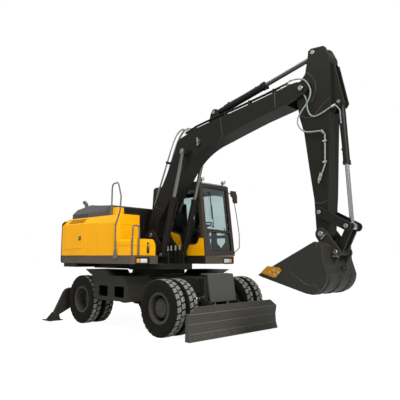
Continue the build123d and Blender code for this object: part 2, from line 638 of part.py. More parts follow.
# Handrails: the tall hoop by the tank and the loop at the tool box, bent from round tube
hoop = [(100, -1258, 1410), (100, -1258, 2100), (245, -1258, 2400), (235, -1235, 2700),
        (60, -1190, 3010), (-320, -1080, 3030), (-320, -1080, shoulder_high)]
loop = [(636, -1222, deck_top), (636, -1222, 2080), (636, -1060, 2080), (636, -1060, deck_top)]
with BuildPart() as handrails:
    tube(hoop, 110, 16)
    tube(loop, 60, 16)
    block((84, -1262, 1400), (116, -half_width, 1480))
    slab([(30, 1430), (180, 1430), (122, 1660), (84, 1660)], -1264, -1252)
    slab([(-385, shoulder_high), (-304, shoulder_high), (-304, 2600), (-330, 2620)], -1086, -1074)
write(handrails, "handrails")

# Cab shell: folded posts and roof, hollow, with its windows and doorway cut
cab_foot = deck_top + 5
cab_brow = cab_top - 40


def front_x(height):
    """How far forward the slanted front of the cab is at a height."""
    lean = (cab_front_low - cab_front_high) / (cab_brow - cab_foot)
    return cab_front_low - (height - cab_foot) * lean


cab_outline = [(cab_rear, cab_foot), (cab_rear, 2300), (cab_rear + 60, cab_brow),
               (cab_rear + 130, cab_top), (cab_front_high - 60, cab_top),
               (cab_front_high, cab_brow), (cab_front_low, cab_foot)]
cab_inside = [(cab_rear + wall, cab_foot + wall), (cab_rear + wall, 2290),
              (cab_rear + 60 + wall, cab_top - 100), (front_x(cab_top - 100) - wall, cab_top - 100),
              (front_x(cab_foot + wall) - wall, cab_foot + wall)]
side_window = [(-480, 2090), (-480, 2950), (front_x(2950) - 95, 2950), (front_x(1890) - 95, 1890),
               (980, 1890), (935, 1790), (870, 1750), (470, 1750), (400, 1960), (340, 1995), (50, 2065)]
side_panel = [(-560, cab_foot), (-560, 2060), (50, 2035), (320, 1968), (378, 1935), (452, 1725),
              (878, 1725), (950, 1772), (994, 1865), (1115, 1865), (1150, cab_foot)]
side_panel_skin = 7
door_low = deck_top + 65
doorway = [(20, door_low), (20, 3000), (front_x(3000) - 85, 3000), (front_x(door_low) - 85, door_low)]
quarter_window = [(-520, 2010), (-500, 2950), (-70, 2950), (-70, 2010)]
screen_plane = Plane(origin=(cab_front_low, 0, cab_foot), x_dir=(0, 1, 0),
                     z_dir=(cab_brow - cab_foot, 0, cab_front_low - cab_front_high))
cab_middle = (cab_left + cab_right) / 2
screen_width = 760
screen_panes = ((110, 515), (555, 1525))


def screen_shapes(depth, thickness, mode):
    """The lower and the upper windscreen, at a depth behind the cab's slanted front."""
    with BuildSketch(screen_plane.offset(-depth)) as screen:
        for low, high in screen_panes:
            with Locations((cab_middle, (low + high) / 2)):
                RectangleRounded(screen_width, high - low, 45)
    extrude(screen.sketch, amount=thickness, mode=mode)


def rear_window_shape(depth, thickness, mode):
    """The rear window, at a depth ahead of the cab's back."""
    with BuildSketch(Plane.YZ.offset(cab_rear + depth)) as window:
        with Locations((cab_middle, 2590)):
            RectangleRounded(700, 640, 60)
    extrude(window.sketch, amount=thickness, dir=(1, 0, 0), mode=mode)


with BuildPart() as cab_shell:
    slab(cab_outline, cab_right, cab_left)
    slab(cab_inside, cab_right + wall, cab_left - wall, mode=Mode.SUBTRACT)
    slab(side_window, cab_right - 10, cab_right + wall + 5, mode=Mode.SUBTRACT)
    slab(doorway, cab_left - wall - 5, cab_left + 10, mode=Mode.SUBTRACT)
    slab(quarter_window, cab_left - wall - 5, cab_left + 10, mode=Mode.SUBTRACT)
    rear_window_shape(-20, 150, Mode.SUBTRACT)
    screen_shapes(90, 130, Mode.SUBTRACT)
    slab(side_panel, cab_right - side_panel_skin, cab_right + 5)
    for groove in (1570, 1640):
        block((440, cab_right - 12, groove - 5), (1090, cab_right - 3, groove + 5), mode=Mode.SUBTRACT)
write(cab_shell, "cab_shell")

# Cab glass: one pane in each window of the shell
pane = 6
with BuildPart() as cab_glass:
    slab(side_window, cab_right + 15, cab_right + 15 + pane)
    slab(quarter_window, cab_left - 15 - pane, cab_left - 15)
    rear_window_shape(25, pane, Mode.ADD)
    screen_shapes(26, pane, Mode.ADD)
write(cab_glass, "cab_glass")

# Cab door: a rear-hinged frame with its own two panes
gap = 6
with BuildPart() as cab_door:
    door_frame = [(20 + gap, door_low + gap), (20 + gap, 3000 - gap), (front_x(3000) - 85 - gap, 3000 - gap),
                  (front_x(door_low) - 85 - gap, door_low + gap)]
    slab(door_frame, cab_left - wall + 5, cab_left)
    upper_cut = [(90, 1960), (90, 2930), (front_x(2930) - 150, 2930), (front_x(1960) - 150, 1960)]
    lower_cut = [(90, 1650), (90, 1900), (front_x(1900) - 150, 1900), (front_x(1650) - 150, 1650)]
    slab(upper_cut, cab_left - wall - 5, cab_left + 10, mode=Mode.SUBTRACT)
    slab(lower_cut, cab_left - wall - 5, cab_left + 10, mode=Mode.SUBTRACT)
write(cab_door, "cab_door")
with BuildPart() as door_glass:
    slab(upper_cut, cab_left - 20 - pane, cab_left - 20)
    slab(lower_cut, cab_left - 20 - pane, cab_left - 20)
write(door_glass, "cab_door_glass")

# Cab seat and controls
with BuildPart() as cab_seat:
    block((-150, 520, 1990), (330, 1010, 2110))
    slab([(-170, 2080), (-60, 2080), (-130, 2780), (-230, 2780)], 535, 995)
    block((-80, 600, deck_top + 60), (260, 930, 1985))
write(cab_seat, "cab_seat")
wheel_plane = Plane(origin=(700, cab_middle, 2175), x_dir=(0, 1, 0), z_dir=(-180, 0, 600))
with BuildPart() as controls:
    for side in (-1, 1):
        block((-100, 765 + side * 320 - 60, deck_top + 60), (380, 765 + side * 320 + 60, 2150))
    bar((880, cab_middle, deck_top + 95), (700, cab_middle, 2180), 40)
    with BuildSketch(wheel_plane) as steering_wheel:
        Circle(185)
        Circle(160, mode=Mode.SUBTRACT)
        Rectangle(350, 34)
        Circle(46)
    extrude(steering_wheel.sketch, amount=24)
write(controls, "cab_controls")

# Cab fittings: the mirror on its bracket, the thin guard rail bent from there down to the cab's foot,
# and the two work lamps on the roof edge
guard = [(1010, 1326, 2930), (1110, 1328, 2690), (1180, 1330, 2350), (1243, 1330, 2000), (1250, 1330, 1670),
         (1165, cab_left + 12, 1560)]
with BuildPart() as cab_fittings:
    bar((985, cab_left + 4, 2940), (1010, 1330, 2940), 12)
    tube(guard, 60, 9)
    block((1140, cab_left, 1540), (1175, cab_left + 24, 1580))
    with BuildSketch(Plane.YZ.offset(985)) as mirror:
        Polygon((1318, 3000), (1470, 3005), (1520, 2900), (1530, 2725), (1425, 2718), (1385, 2850),
                (1325, 2880), align=None)
    extrude(mirror.sketch, amount=45)
    lamp_x = cab_front_high - 70
    for lamp_y in (420, 1130):
        bar((lamp_x, lamp_y, cab_top), (lamp_x, lamp_y, cab_top + 35), 14)
        bar((lamp_x - 20, lamp_y, cab_top + 62), (lamp_x + 60, lamp_y, cab_top + 62), 42)
write(cab_fittings, "cab_fittings")

# Boom: a welded box with a cranked middle, bosses for its rams, a forked tip, two pairs of steel
# pipes clamped along its top, and a work lamp on its side
pipe_route = [(1120, 4047), (1464, 4143), (2044, 4223), (2403, 4260), (3187, 4368)]
pipe_clamps = ((1300, 4039), (2250, 4186), (2850, 4264), (3400, 4342))
with BuildPart() as boom:
    with BuildSketch(Plane.XZ.offset(-boom_y)):
        with BuildLine():
            Polyline((40, 1900), (-30, 2160), (97, 2470), (735, 3490), (900, 3890), (980, 3950),
                     (1464, 4085), (2044, 4165), (2403, 4202), (3187, 4310), (3760, 4400),
                     (3900, 4405))
            Line((3900, 4405), (4085, 4310))
            Line((4085, 4310), (4060, 4180))
            Polyline((4060, 4180), (3700, 4066), (3044, 3955), (2566, 3850), (1900, 3695))
            ThreePointArc((1900, 3695), (1420, 3480), (1080, 3160))
            Polyline((1080, 3160), (330, 2220), (250, 1900), (140, 1810), (40, 1900))
        make_face()
    extrude(amount=boom_half, both=True)
    pin(boom_foot, boom_y - boom_half, boom_y + boom_half, 118)
    pin(boom_foot, boom_y - 210, boom_y + 210, 57, mode=Mode.SUBTRACT)
    pin(boom_ram_eye, boom_y - 235, boom_y + 235, 90)
    pin(boom_tip, boom_y - boom_half, boom_y + boom_half, 125)
    slab([(3660, 3900), (3660, 4600), (4200, 4600), (4200, 3900)], boom_y - 158, boom_y + 158,
         mode=Mode.SUBTRACT)
    pin(boom_tip, boom_y - 215, boom_y + 215, 48)
    for side in (-1, 1):
        ear_y = boom_y + side * 96
        slab([(1740, 4100), (1800, 4320), (1860, 4410), (1920, 4410), (1985, 4330), (2150, 4150)],
             ear_y - 18, ear_y + 18)
    pin(arm_ram_foot, boom_y - 122, boom_y + 122, 40)
    for side in (-1, 1):
        for pipe_y, pipe_end in ((172, (3700, 4449)), (136, (3520, 4420))):
            line = [*pipe_route, pipe_end]
            tube([(x, boom_y + side * pipe_y, z) for x, z in line], 250, 13)
        low, high = sorted((boom_y + side * 118, boom_y + side * 190))
        for clamp_x, clamp_z in pipe_clamps:
            slab([(clamp_x - 20, clamp_z - 15), (clamp_x + 20, clamp_z - 10), (clamp_x + 20, clamp_z + 78),
                  (clamp_x - 20, clamp_z + 73)], low, high)
    bar((1545, boom_y - 190, 3790), (1545, boom_y - 240, 3790), 18)
    bar((1505, boom_y - 236, 3795), (1590, boom_y - 236, 3775), 48)
write(boom, "boom")

# Boom rams: one each side of the boom
with BuildPart() as boom_barrels:
    for side in (-1, 1):
        ram_barrel(boom_ram_foot, boom_ram_eye, boom_y + side * boom_ram_offset, 1245, 62, 38, 84, 76)
write(boom_barrels, "boom_ram_barrels")
with BuildPart() as boom_rods:
    for side in (-1, 1):
        ram_rod(boom_ram_foot, boom_ram_eye, boom_y + side * boom_ram_offset, 850, 38, 66, 74)
write(boom_rods, "boom_ram_rods")

# Arm ram: on top of the boom
with BuildPart() as arm_barrel:
    ram_barrel(arm_ram_foot, arm_ram_eye, boom_y, 1240, 68, 40, 80, 144)
write(arm_barrel, "arm_ram_barrel")
with BuildPart() as arm_rod:
    ram_rod(arm_ram_foot, arm_ram_eye, boom_y, 840, 40, 66, 90)
write(arm_rod, "arm_ram_rod")

# Arm: a tapered box, with a high head for its ram, ears for the bucket ram, and a pipe with its
# shut-off valve clamped to its right side
arm_pipe_y = boom_y - arm_half - 20
arm_outline = [
    (4155, 4930), (4385, 4905), (4470, 4720), (4480, 4560), (4480, 3900), (4400, 2425), (4350, 1850),
    (4300, 1735), (4200, 1735), (4165, 1850), (4141, 2368), (4060, 2927), (3985, 3500), (3900, 3800),
    (3850, 4200), (3850, 4300), (3920, 4400), (4030, 4520), (4085, 4790), (4100, 4900),
]
with BuildPart() as arm:
    slab(arm_outline, boom_y - arm_half, boom_y + arm_half)
    slab([(3800, 4990), (4440, 5000), (4425, 4740), (4330, 4600), (4080, 4540), (3800, 4600)],
         boom_y - 57, boom_y + 57, mode=Mode.SUBTRACT)
    pin(boom_tip, boom_y - 160, boom_y + 160, 50, mode=Mode.SUBTRACT)
    pin(bucket_pin, boom_y - arm_half - 6, boom_y + arm_half + 6, 88)
    pin(bucket_pin, boom_y - 170, boom_y + 170, 38, mode=Mode.SUBTRACT)
    pin(rocker_pin, boom_y - arm_half - 6, boom_y + arm_half + 6, 80)
    pin(rocker_pin, boom_y - 205, boom_y + 205, 34)
    for side in (-1, 1):
        ear_y = boom_y + side * 78
        slab([(4470, 4640), (4540, 4560), (4660, 3990), (4680, 3900), (4640, 3840), (4560, 3830),
              (4470, 3760)], ear_y - 15, ear_y + 15)
    pin(bucket_ram_foot, boom_y - 98, boom_y + 98, 31)
    tube([(4375, arm_pipe_y, 3420), (4362, arm_pipe_y, 2920), (4290, arm_pipe_y, 2760)], 60, 11)
    for clamp_x, clamp_z in ((4372, 3300), (4363, 2960)):
        block((clamp_x - 34, arm_pipe_y - 15, clamp_z - 14), (clamp_x + 34, arm_pipe_y + 25, clamp_z + 14))
    slab([(4285, 2790), (4320, 2775), (4272, 2650), (4238, 2664)], arm_pipe_y - 24, arm_pipe_y + 25)
write(arm, "arm")

# Bucket ram: in front of the arm
with BuildPart() as bucket_barrel:
    ram_barrel(bucket_ram_foot, link_pin, boom_y, 1010, 54, 34, 62, 110)
write(bucket_barrel, "bucket_ram_barrel")
with BuildPart() as bucket_rod:
    ram_rod(bucket_ram_foot, link_pin, boom_y, 770, 34, 58, 84)
write(bucket_rod, "bucket_ram_rod")

# Side links: the rockers either side of the arm
with BuildPart() as side_links:
    for side in (-1, 1):
        low = boom_y + side * 180 - 14
        link(rocker_pin, 74, link_pin, 70, low, low + 28)
        pin(rocker_pin, low, low + 28, 36, mode=Mode.SUBTRACT)
    for side in (-1, 1):
        pin(link_pin, boom_y + side * 180 - (14 if side > 0 else 34),
            boom_y + side * 180 + (34 if side > 0 else 14), 34)
write(side_links, "side_links")

# Bucket link: from the rocker pin to the bucket, forked round the rod eye
with BuildPart() as bucket_link:
    for side in (-1, 1):
        low = boom_y + side * 78 - 18
        link(link_pin, 58, bucket_link_pin, 56, low, low + 36)
    pin(bucket_link_pin, boom_y - 125, boom_y + 125, 56)
    pin(bucket_link_pin, boom_y - 130, boom_y + 130, 36, mode=Mode.SUBTRACT)
write(bucket_link, "bucket_link")

# Bucket: a rolled shell between two side plates, with hanger ears, a lip, thick edge plates, wear
# strips round its heel, a lifting eye and bolted side cutters
shell_top = (4300, 1690)
shell_corner = (4358, 1668)
edge_plate = [(3240, 1165), (4290, 1683), (4350, 1655), (4335, 1600), (3830, 1250), (4165, 1030),
              (4290, 1045), (4375, 965), (4290, 930), (4135, 912), (3310, 1134)]
edge_proud = 8
lift_eye = (4560, 1290)
lift_eye_radius = 24
with BuildPart() as bucket:
    with BuildSketch(Plane.XZ.offset(-boom_y)) as bucket_outer:
        with BuildLine():
            Polyline((3225, 1160), (3300, 1130), (4130, 905))
            ThreePointArc((4130, 905), (4400, 970), (4508, 1200))
            Polyline((4508, 1200), (4438, 1430), (4434, 1630), shell_corner, shell_top, (3225, 1160))
        make_face()
    extrude(bucket_outer.sketch, amount=bucket_half, both=True)
    with BuildSketch(Plane.XZ.offset(-boom_y)) as bucket_inner:
        with BuildLine():
            Polyline((3150, 1140), (3300, 1160), (4135, 933))
            ThreePointArc((4135, 933), (4380, 992), (4480, 1200))
            Polyline((4480, 1200), (4411, 1425), (4407, 1612), (4345, 1643), (4291, 1664),
                     (4240, 1780), (3150, 1300), (3150, 1140))
        make_face()
    extrude(bucket_inner.sketch, amount=bucket_half - 25, both=True, mode=Mode.SUBTRACT)
    for side in (-1, 1):
        ear_y = boom_y + side * 182
        with BuildSketch(Plane.XZ.offset(-ear_y)) as ear_shape:
            with Locations(bucket_pin):
                Circle(98)
            with Locations(bucket_link_pin):
                Circle(84)
            with Locations((4470, 1380)):
                Circle(30)
            with Locations((4350, 1650)):
                Circle(30)
            make_hull()
        extrude(ear_shape.sketch, amount=14, both=True)
        pin(bucket_pin, ear_y - 26 if side < 0 else ear_y, ear_y if side < 0 else ear_y + 26, 50)
        pin(bucket_link_pin, ear_y - 26 if side < 0 else ear_y, ear_y if side < 0 else ear_y + 26, 46)
    pin(bucket_pin, boom_y - 190, boom_y + 190, 36)
    pin(bucket_link_pin, boom_y - 190, boom_y + 190, 34)
    for side in (-1, 1):
        low, high = sorted((boom_y + side * (bucket_half - 2), boom_y + side * (bucket_half + edge_proud)))
        slab(edge_plate, low, high)
    for strip_y in (-330, 0, 330):
        with BuildSketch(Plane.XZ.offset(-boom_y - strip_y - 45)) as wear:
            with BuildLine():
                Polyline((3700, 1020), (4130, 905))
                ThreePointArc((4130, 905), (4400, 970), (4508, 1200))
                Polyline((4508, 1200), (4522, 1202))
                ThreePointArc((4522, 1202), (4410, 960), (4133, 890))
                Polyline((4133, 890), (3704, 1004), (3700, 1020))
            make_face()
        extrude(wear.sketch, amount=90)
    link(lift_eye, 46, (4490, 1290), 30, boom_y - 16, boom_y + 16)
    pin(lift_eye, boom_y - 20, boom_y + 20, lift_eye_radius, mode=Mode.SUBTRACT)
write(bucket, "bucket")
with BuildPart() as side_cutters:
    cutter = [(3309, 1200), (3444, 1311), (3669, 1288), (3710, 1237), (3593, 1120)]
    for side in (-1, 1):
        low = boom_y + side * (bucket_half + edge_proud + 12) - 12
        slab(cutter, low, low + 24)
write(side_cutters, "side_cutters")
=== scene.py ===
"""Looks of a wheeled excavator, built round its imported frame: finishes, tread, hoses, bolts and trim."""
import json
import math

import bpy
from mathutils import Matrix, Vector


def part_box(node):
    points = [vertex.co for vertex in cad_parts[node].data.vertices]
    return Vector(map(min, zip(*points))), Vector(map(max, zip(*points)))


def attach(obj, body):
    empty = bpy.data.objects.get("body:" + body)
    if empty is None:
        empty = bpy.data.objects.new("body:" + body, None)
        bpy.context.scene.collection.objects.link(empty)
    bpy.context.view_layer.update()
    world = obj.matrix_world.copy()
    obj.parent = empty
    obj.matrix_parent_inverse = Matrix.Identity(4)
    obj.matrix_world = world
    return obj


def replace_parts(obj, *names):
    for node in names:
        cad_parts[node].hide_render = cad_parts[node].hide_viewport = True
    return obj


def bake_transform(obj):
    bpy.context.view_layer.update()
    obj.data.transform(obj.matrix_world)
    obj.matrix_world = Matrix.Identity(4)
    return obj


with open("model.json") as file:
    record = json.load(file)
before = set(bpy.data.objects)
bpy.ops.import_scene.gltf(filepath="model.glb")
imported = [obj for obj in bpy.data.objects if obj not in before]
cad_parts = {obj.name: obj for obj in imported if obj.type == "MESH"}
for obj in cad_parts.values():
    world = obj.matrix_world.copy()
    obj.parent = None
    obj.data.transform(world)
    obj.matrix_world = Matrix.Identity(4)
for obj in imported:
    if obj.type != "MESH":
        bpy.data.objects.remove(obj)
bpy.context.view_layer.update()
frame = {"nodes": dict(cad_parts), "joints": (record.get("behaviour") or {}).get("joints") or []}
nodes = frame["nodes"]
pivots = {joint["name"]: Vector(joint["pos_m"]) for joint in frame["joints"] if "pos_m" in joint}

# Camera
# The view of the photograph: from ahead of the right front tyre, low, looking a little upwards.
# The lens is given for a 36 mm sensor and a square frame.
camera_place = (7.9934, -6.7522, 1.427)
camera_heading = 44.75
camera_pitch = 7.27
camera_roll = 0.22
camera_lens = 41.3
camera_data = bpy.data.cameras.new("view")
camera_data.lens = camera_lens
camera_data.sensor_width = 36.0
camera = bpy.data.objects.new("view", camera_data)
bpy.context.scene.collection.objects.link(camera)
camera.matrix_world = (Matrix.Translation(camera_place)
                       @ Matrix.Rotation(math.radians(camera_heading), 4, "Z")
                       @ Matrix.Rotation(math.radians(90 + camera_pitch), 4, "X")
                       @ Matrix.Rotation(math.radians(camera_roll), 4, "Z"))
bpy.context.scene.camera = camera
bpy.context.scene.view_settings.view_transform = "Standard"


def linear(hex_colour):
    """An sRGB hex colour as linear red, green, blue and alpha."""
    values = [int(hex_colour[i:i + 2], 16) / 255 for i in (1, 3, 5)]
    return [v / 12.92 if v <= 0.04045 else ((v + 0.055) / 1.055) ** 2.4 for v in values] + [1.0]


def add(tree, kind, inputs, **settings):
    """One shader node: its settings, and for each input a value or the socket that feeds it."""
    made = tree.nodes.new(kind)
    for name, value in settings.items():
        setattr(made, name, value)
    for socket, value in inputs.items():
        if isinstance(value, bpy.types.NodeSocket):
            tree.links.new(value, made.inputs[socket])
        else:
            made.inputs[socket].default_value = value
    return made


def new_material(name):
    """An empty material and its node tree."""
    material = bpy.data.materials.new(name)
    material.use_nodes = True
    material.node_tree.nodes.clear()
    return material, material.node_tree


def white_ray(tree):
    """1 for the rays that should meet a plain white background: from the camera or through glass."""
    path = add(tree, "ShaderNodeLightPath", {})
    seen = add(tree, "ShaderNodeMath", {0: path.outputs["Is Camera Ray"],
                                        1: path.outputs["Is Transmission Ray"]}, operation="MAXIMUM")
    return seen.outputs[0]


# Floor and light
# A pale studio floor that runs white for the camera and keeps a soft shadow, under a white sky.
# A large key lamp stands ahead on the right and a weak fill behind on the right. One lamp hangs
# overhead, and one lights the far side from behind.
white = linear("#FFFFFF")
bpy.ops.object.select_all(action="DESELECT")
bpy.ops.mesh.primitive_plane_add(size=160.0, location=(0.0, 0.0, 0.0))
floor = bpy.context.object
floor.name = "floor"
floor_material, tree = new_material("matt white studio floor")
share = add(tree, "ShaderNodeMath", {0: white_ray(tree), 1: 0.86}, operation="MULTIPLY")
matt = add(tree, "ShaderNodeBsdfDiffuse", {"Color": linear("#E4E4E4")})
glow = add(tree, "ShaderNodeEmission", {"Color": white, "Strength": 1.12})
mixed = add(tree, "ShaderNodeMixShader", {0: share.outputs[0], 1: matt.outputs[0], 2: glow.outputs[0]})
add(tree, "ShaderNodeOutputMaterial", {"Surface": mixed.outputs[0]})
floor.data.materials.append(floor_material)

world = bpy.data.worlds.new("studio")
world.use_nodes = True
bpy.context.scene.world = world
tree = world.node_tree
tree.nodes.clear()
sky = add(tree, "ShaderNodeBackground", {"Color": linear("#F4F7FA"), "Strength": 0.50})
backdrop = add(tree, "ShaderNodeBackground", {"Color": white, "Strength": 1.0})
mixed = add(tree, "ShaderNodeMixShader", {0: white_ray(tree), 1: sky.outputs[0], 2: backdrop.outputs[0]})
add(tree, "ShaderNodeOutputWorld", {"Surface": mixed.outputs[0]})

machine_middle = Vector((0.8, 0.0, 1.8))
lamps = (("key", (11.5, -4.0, 8.0), 4.0, 1250.0), ("fill", (-6.0, -10.0, 5.0), 6.0, 60.0),
         ("top", (0.0, -4.0, 11.0), 5.0, 500.0), ("back", (-6.0, 8.0, 9.0), 5.0, 420.0))
for name, place, size, power in lamps:
    lamp_data = bpy.data.lights.new(name, "AREA")
    lamp_data.size = size
    lamp_data.energy = power
    lamp = bpy.data.objects.new(name, lamp_data)
    bpy.context.scene.collection.objects.link(lamp)
    lamp.location = place
    lamp.rotation_euler = (machine_middle - Vector(place)).to_track_quat("-Z", "Y").to_euler()


# Painted steel
# The machine's plates are steel, primed and sprayed with a two-part enamel that dries with a
# fine orange peel. The eye sees a soft sheen, slightly uneven, rounded bright edges where the paint
# is thin, and a film of site dust low down.
def within(tree, place, low, high):
    """1 inside a box given by its two corners, in metres, and 0 outside."""
    split = add(tree, "ShaderNodeSeparateXYZ", {0: place.outputs["Object"]})
    inside = None
    for axis, (start, end) in enumerate(zip(low, high)):
        middle, half = (start + end) / 2, (end - start) / 2
        side = add(tree, "ShaderNodeMath", {0: split.outputs[axis], 1: middle, 2: half}, operation="COMPARE")
        if inside is None:
            inside = side
        else:
            inside = add(tree, "ShaderNodeMath", {0: inside.outputs[0], 1: side.outputs[0]},
                         operation="MULTIPLY")
    return inside.outputs[0]


def enamel(name, colour, shade, roughness, coat, dust, wear=0.10, boxes=(), inside_shade=None):
    """Sprayed enamel on steel: uneven sheen, orange peel, worn edges, dust near the ground.

    Inside each box, (low, high, colour), it has that colour instead. The last argument is a box, the normal
    and distance of a slanted plane that it stays behind, and a colour: the cab's inside, painted near black
    as the shade within the cab."""
    dust_colour, dust_height, bare_edge = "#857B6B", 1.1, "#B9B5AC"
    material, tree = new_material(name)
    place = add(tree, "ShaderNodeTexCoord", {})
    cloud = add(tree, "ShaderNodeTexNoise",
                {"Vector": place.outputs["Object"], "Scale": 3.0, "Detail": 4.0, "Roughness": 0.55})
    base = add(tree, "ShaderNodeMix", {"Factor": cloud.outputs["Fac"], 6: linear(colour), 7: linear(shade)},
               data_type="RGBA")
    for low, high, tone in boxes:
        base = add(tree, "ShaderNodeMix", {"Factor": within(tree, place, low, high), 6: base.outputs[2],
                                           7: linear(tone)}, data_type="RGBA")
    if inside_shade:
        low, high, normal, reach, tone = inside_shade
        depth = add(tree, "ShaderNodeVectorMath", {0: place.outputs["Object"], 1: normal},
                    operation="DOT_PRODUCT")
        behind = add(tree, "ShaderNodeMath", {0: depth.outputs["Value"], 1: reach}, operation="LESS_THAN")
        inner = add(tree, "ShaderNodeMath", {0: within(tree, place, low, high), 1: behind.outputs[0]},
                    operation="MULTIPLY")
        base = add(tree, "ShaderNodeMix", {"Factor": inner.outputs[0], 6: base.outputs[2], 7: linear(tone)},
                   data_type="RGBA")
    split = add(tree, "ShaderNodeSeparateXYZ", {0: place.outputs["Object"]})
    height = add(tree, "ShaderNodeMapRange",
                 {"Value": split.outputs["Z"], "From Min": 0.0, "From Max": dust_height,
                  "To Min": dust, "To Max": 0.0})
    speck = add(tree, "ShaderNodeTexNoise",
                {"Vector": place.outputs["Object"], "Scale": 28.0, "Detail": 6.0, "Roughness": 0.7})
    film = add(tree, "ShaderNodeMath", {0: height.outputs[0], 1: speck.outputs["Fac"]}, operation="MULTIPLY")
    dusty = add(tree, "ShaderNodeMix", {"Factor": film.outputs[0], 6: base.outputs[2],
                                        7: linear(dust_colour)}, data_type="RGBA")
    soft = add(tree, "ShaderNodeBevel", {"Radius": 0.006}, samples=4)
    flat = add(tree, "ShaderNodeNewGeometry", {})
    match = add(tree, "ShaderNodeVectorMath", {0: soft.outputs[0], 1: flat.outputs["Normal"]},
                operation="DOT_PRODUCT")
    edge = add(tree, "ShaderNodeMapRange", {"Value": match.outputs["Value"], "From Min": 0.995,
                                            "From Max": 0.90, "To Min": 0.0, "To Max": wear})
    rubbed = add(tree, "ShaderNodeMath", {0: edge.outputs[0], 1: speck.outputs["Fac"]}, operation="MULTIPLY")
    wear_and_lit_tread = add(tree, "ShaderNodeMix", {"Factor": rubbed.outputs[0], 6: dusty.outputs[2],
                                       7: linear(bare_edge)}, data_type="RGBA")
    sheen = add(tree, "ShaderNodeMapRange",
                {"Value": cloud.outputs["Fac"], "To Min": roughness - 0.06, "To Max": roughness + 0.08})
    peel = add(tree, "ShaderNodeTexNoise",
               {"Vector": place.outputs["Object"], "Scale": 260.0, "Detail": 2.0, "Roughness": 0.5})
    bump = add(tree, "ShaderNodeBump", {"Height": peel.outputs["Fac"], "Normal": soft.outputs[0],
                                        "Strength": 0.18, "Distance": 0.0006})
    paint = add(tree, "ShaderNodeBsdfPrincipled",
                {"Base Color": wear_and_lit_tread.outputs[2], "Roughness": sheen.outputs[0], "Normal": bump.outputs[0],
                 "Coat Weight": coat, "Coat Roughness": 0.15, "IOR": 1.5, "Specular IOR Level": 0.14})
    add(tree, "ShaderNodeOutputMaterial", {"Surface": paint.outputs[0]})
    return material


def dress(material, *names):
    """Gives CAD nodes their finish."""
    for name in names:
        mesh = nodes[name].data
        mesh.materials.clear()
        mesh.materials.append(material)


yellow = "#FFB400"
charcoal = "#26251F"
charcoal_shade = "#1F1E19"
cab_grey = "#463D35"
yellow_enamel = enamel("yellow enamel, sprayed steel", yellow, "#FBAE00", 0.40, 0.04, 0.0)
charcoal_enamel = enamel("charcoal enamel, sprayed steel", charcoal, charcoal_shade, 0.46, 0.0, 0.16)
# A lighter grey on the chassis's front cover plate is a painted highlight.
front_cover_highlight = ((1.685, -0.37, 0.60), (1.98, 0.37, 1.15), "#4A4A47")
chassis_enamel = enamel("charcoal enamel on the chassis", charcoal, charcoal_shade, 0.46, 0.0, 0.16,
                        boxes=(front_cover_highlight,))
boom_enamel = enamel("dark grey enamel, sprayed steel", "#1C1B16", "#171612", 0.44, 0.02, 0.0)
blade_enamel = enamel("blade grey enamel, rubbed by soil", "#3E3E39", "#33332F", 0.48, 0.0, 0.22, wear=0.7)
bucket_enamel = enamel("dark grey enamel on the bucket, rubbed by soil", "#2E2D28", "#262520", 0.46, 0.0, 0.0,
                       wear=0.4)
hood_enamel = enamel("hood grey enamel, sprayed steel", "#5E5E5C", "#525250", 0.44, 0.02, 0.0)
boom_well = ((-2.2, -0.55, 1.0), (1.17, 0.33, 2.7), charcoal)
deck_underside = ((-2.2, -1.3, 1.0), (1.3, 1.3, 1.309), charcoal)
deck_enamel = enamel("warm grey enamel on the decks", "#5C5246", "#544A3F", 0.44, 0.02, 0.0,
                     boxes=(boom_well, deck_underside))
screen_normal = (0.9918, 0.0, 0.1279)
yellow_panel = ((-0.7, 0.20, 1.4), (1.3, 0.2915, 2.2), yellow)
# The cab's back, behind the boom, is painted charcoal as painted shade.
cab_back_shade = ((-0.7, 0.20, 2.2), (-0.49, 1.30, 3.2), charcoal)
# The cab's inside walls are painted a near-black teal, a painted shade for the dark inside of the cab.
cab_inside = ((-0.60, 0.335, 1.53), (1.20, 1.20, 3.03), screen_normal, 1.341, "#16201F")
cab_enamel = enamel("warm grey enamel on the cab", cab_grey, "#3E362F", 0.42, 0.03, 0.0,
                    boxes=(yellow_panel, cab_back_shade), inside_shade=cab_inside)
wheel_enamel = enamel("wheel grey enamel, sprayed steel", "#3B3A36", "#32312D", 0.48, 0.0, 0.25)
# The grilles are painted a darker, browner yellow than the house: painted shade for the shadow in their
# slots.
grille_shade_enamel = enamel("yellow enamel in the grilles, darkened as painted shade", "#B38414", "#A47910", 0.5, 0.0, 0.0)
rail_enamel = enamel("grey enamel on the handrails", "#6F6C66", "#62605A", 0.34, 0.10, 0.0, wear=0.4)
dress(grille_shade_enamel, "grilles")
dress(rail_enamel, "handrails")
dress(yellow_enamel, "house_sides", "service_door_left", "service_door_right", "tank_body", "tool_box",
      "tool_box_lid")
dress(chassis_enamel, "chassis_frame")
dress(charcoal_enamel, "step_boxes", "front_axle", "rear_axle", "knuckle_left",
      "knuckle_right", "blade_arms", "blade_links", "blade_ram_barrels", "outrigger_leg_left",
      "outrigger_leg_right", "outrigger_pad_left", "outrigger_pad_right", "outrigger_ram_barrel_left",
      "outrigger_ram_barrel_right", "counterweight", "valve_group", "engine_block")
dress(blade_enamel, "dozer_blade")
dress(bucket_enamel, "bucket")
dress(hood_enamel, "engine_hood")
dress(deck_enamel, "upper_frame")
dress(boom_enamel, "boom", "arm", "boom_ram_barrels", "arm_ram_barrel", "bucket_ram_barrel", "side_links",
      "bucket_link")
dress(cab_enamel, "cab_shell", "cab_door", "cab_fittings")
dress(wheel_enamel, "wheel_front_left", "wheel_front_right", "wheel_rear_left", "wheel_rear_right")


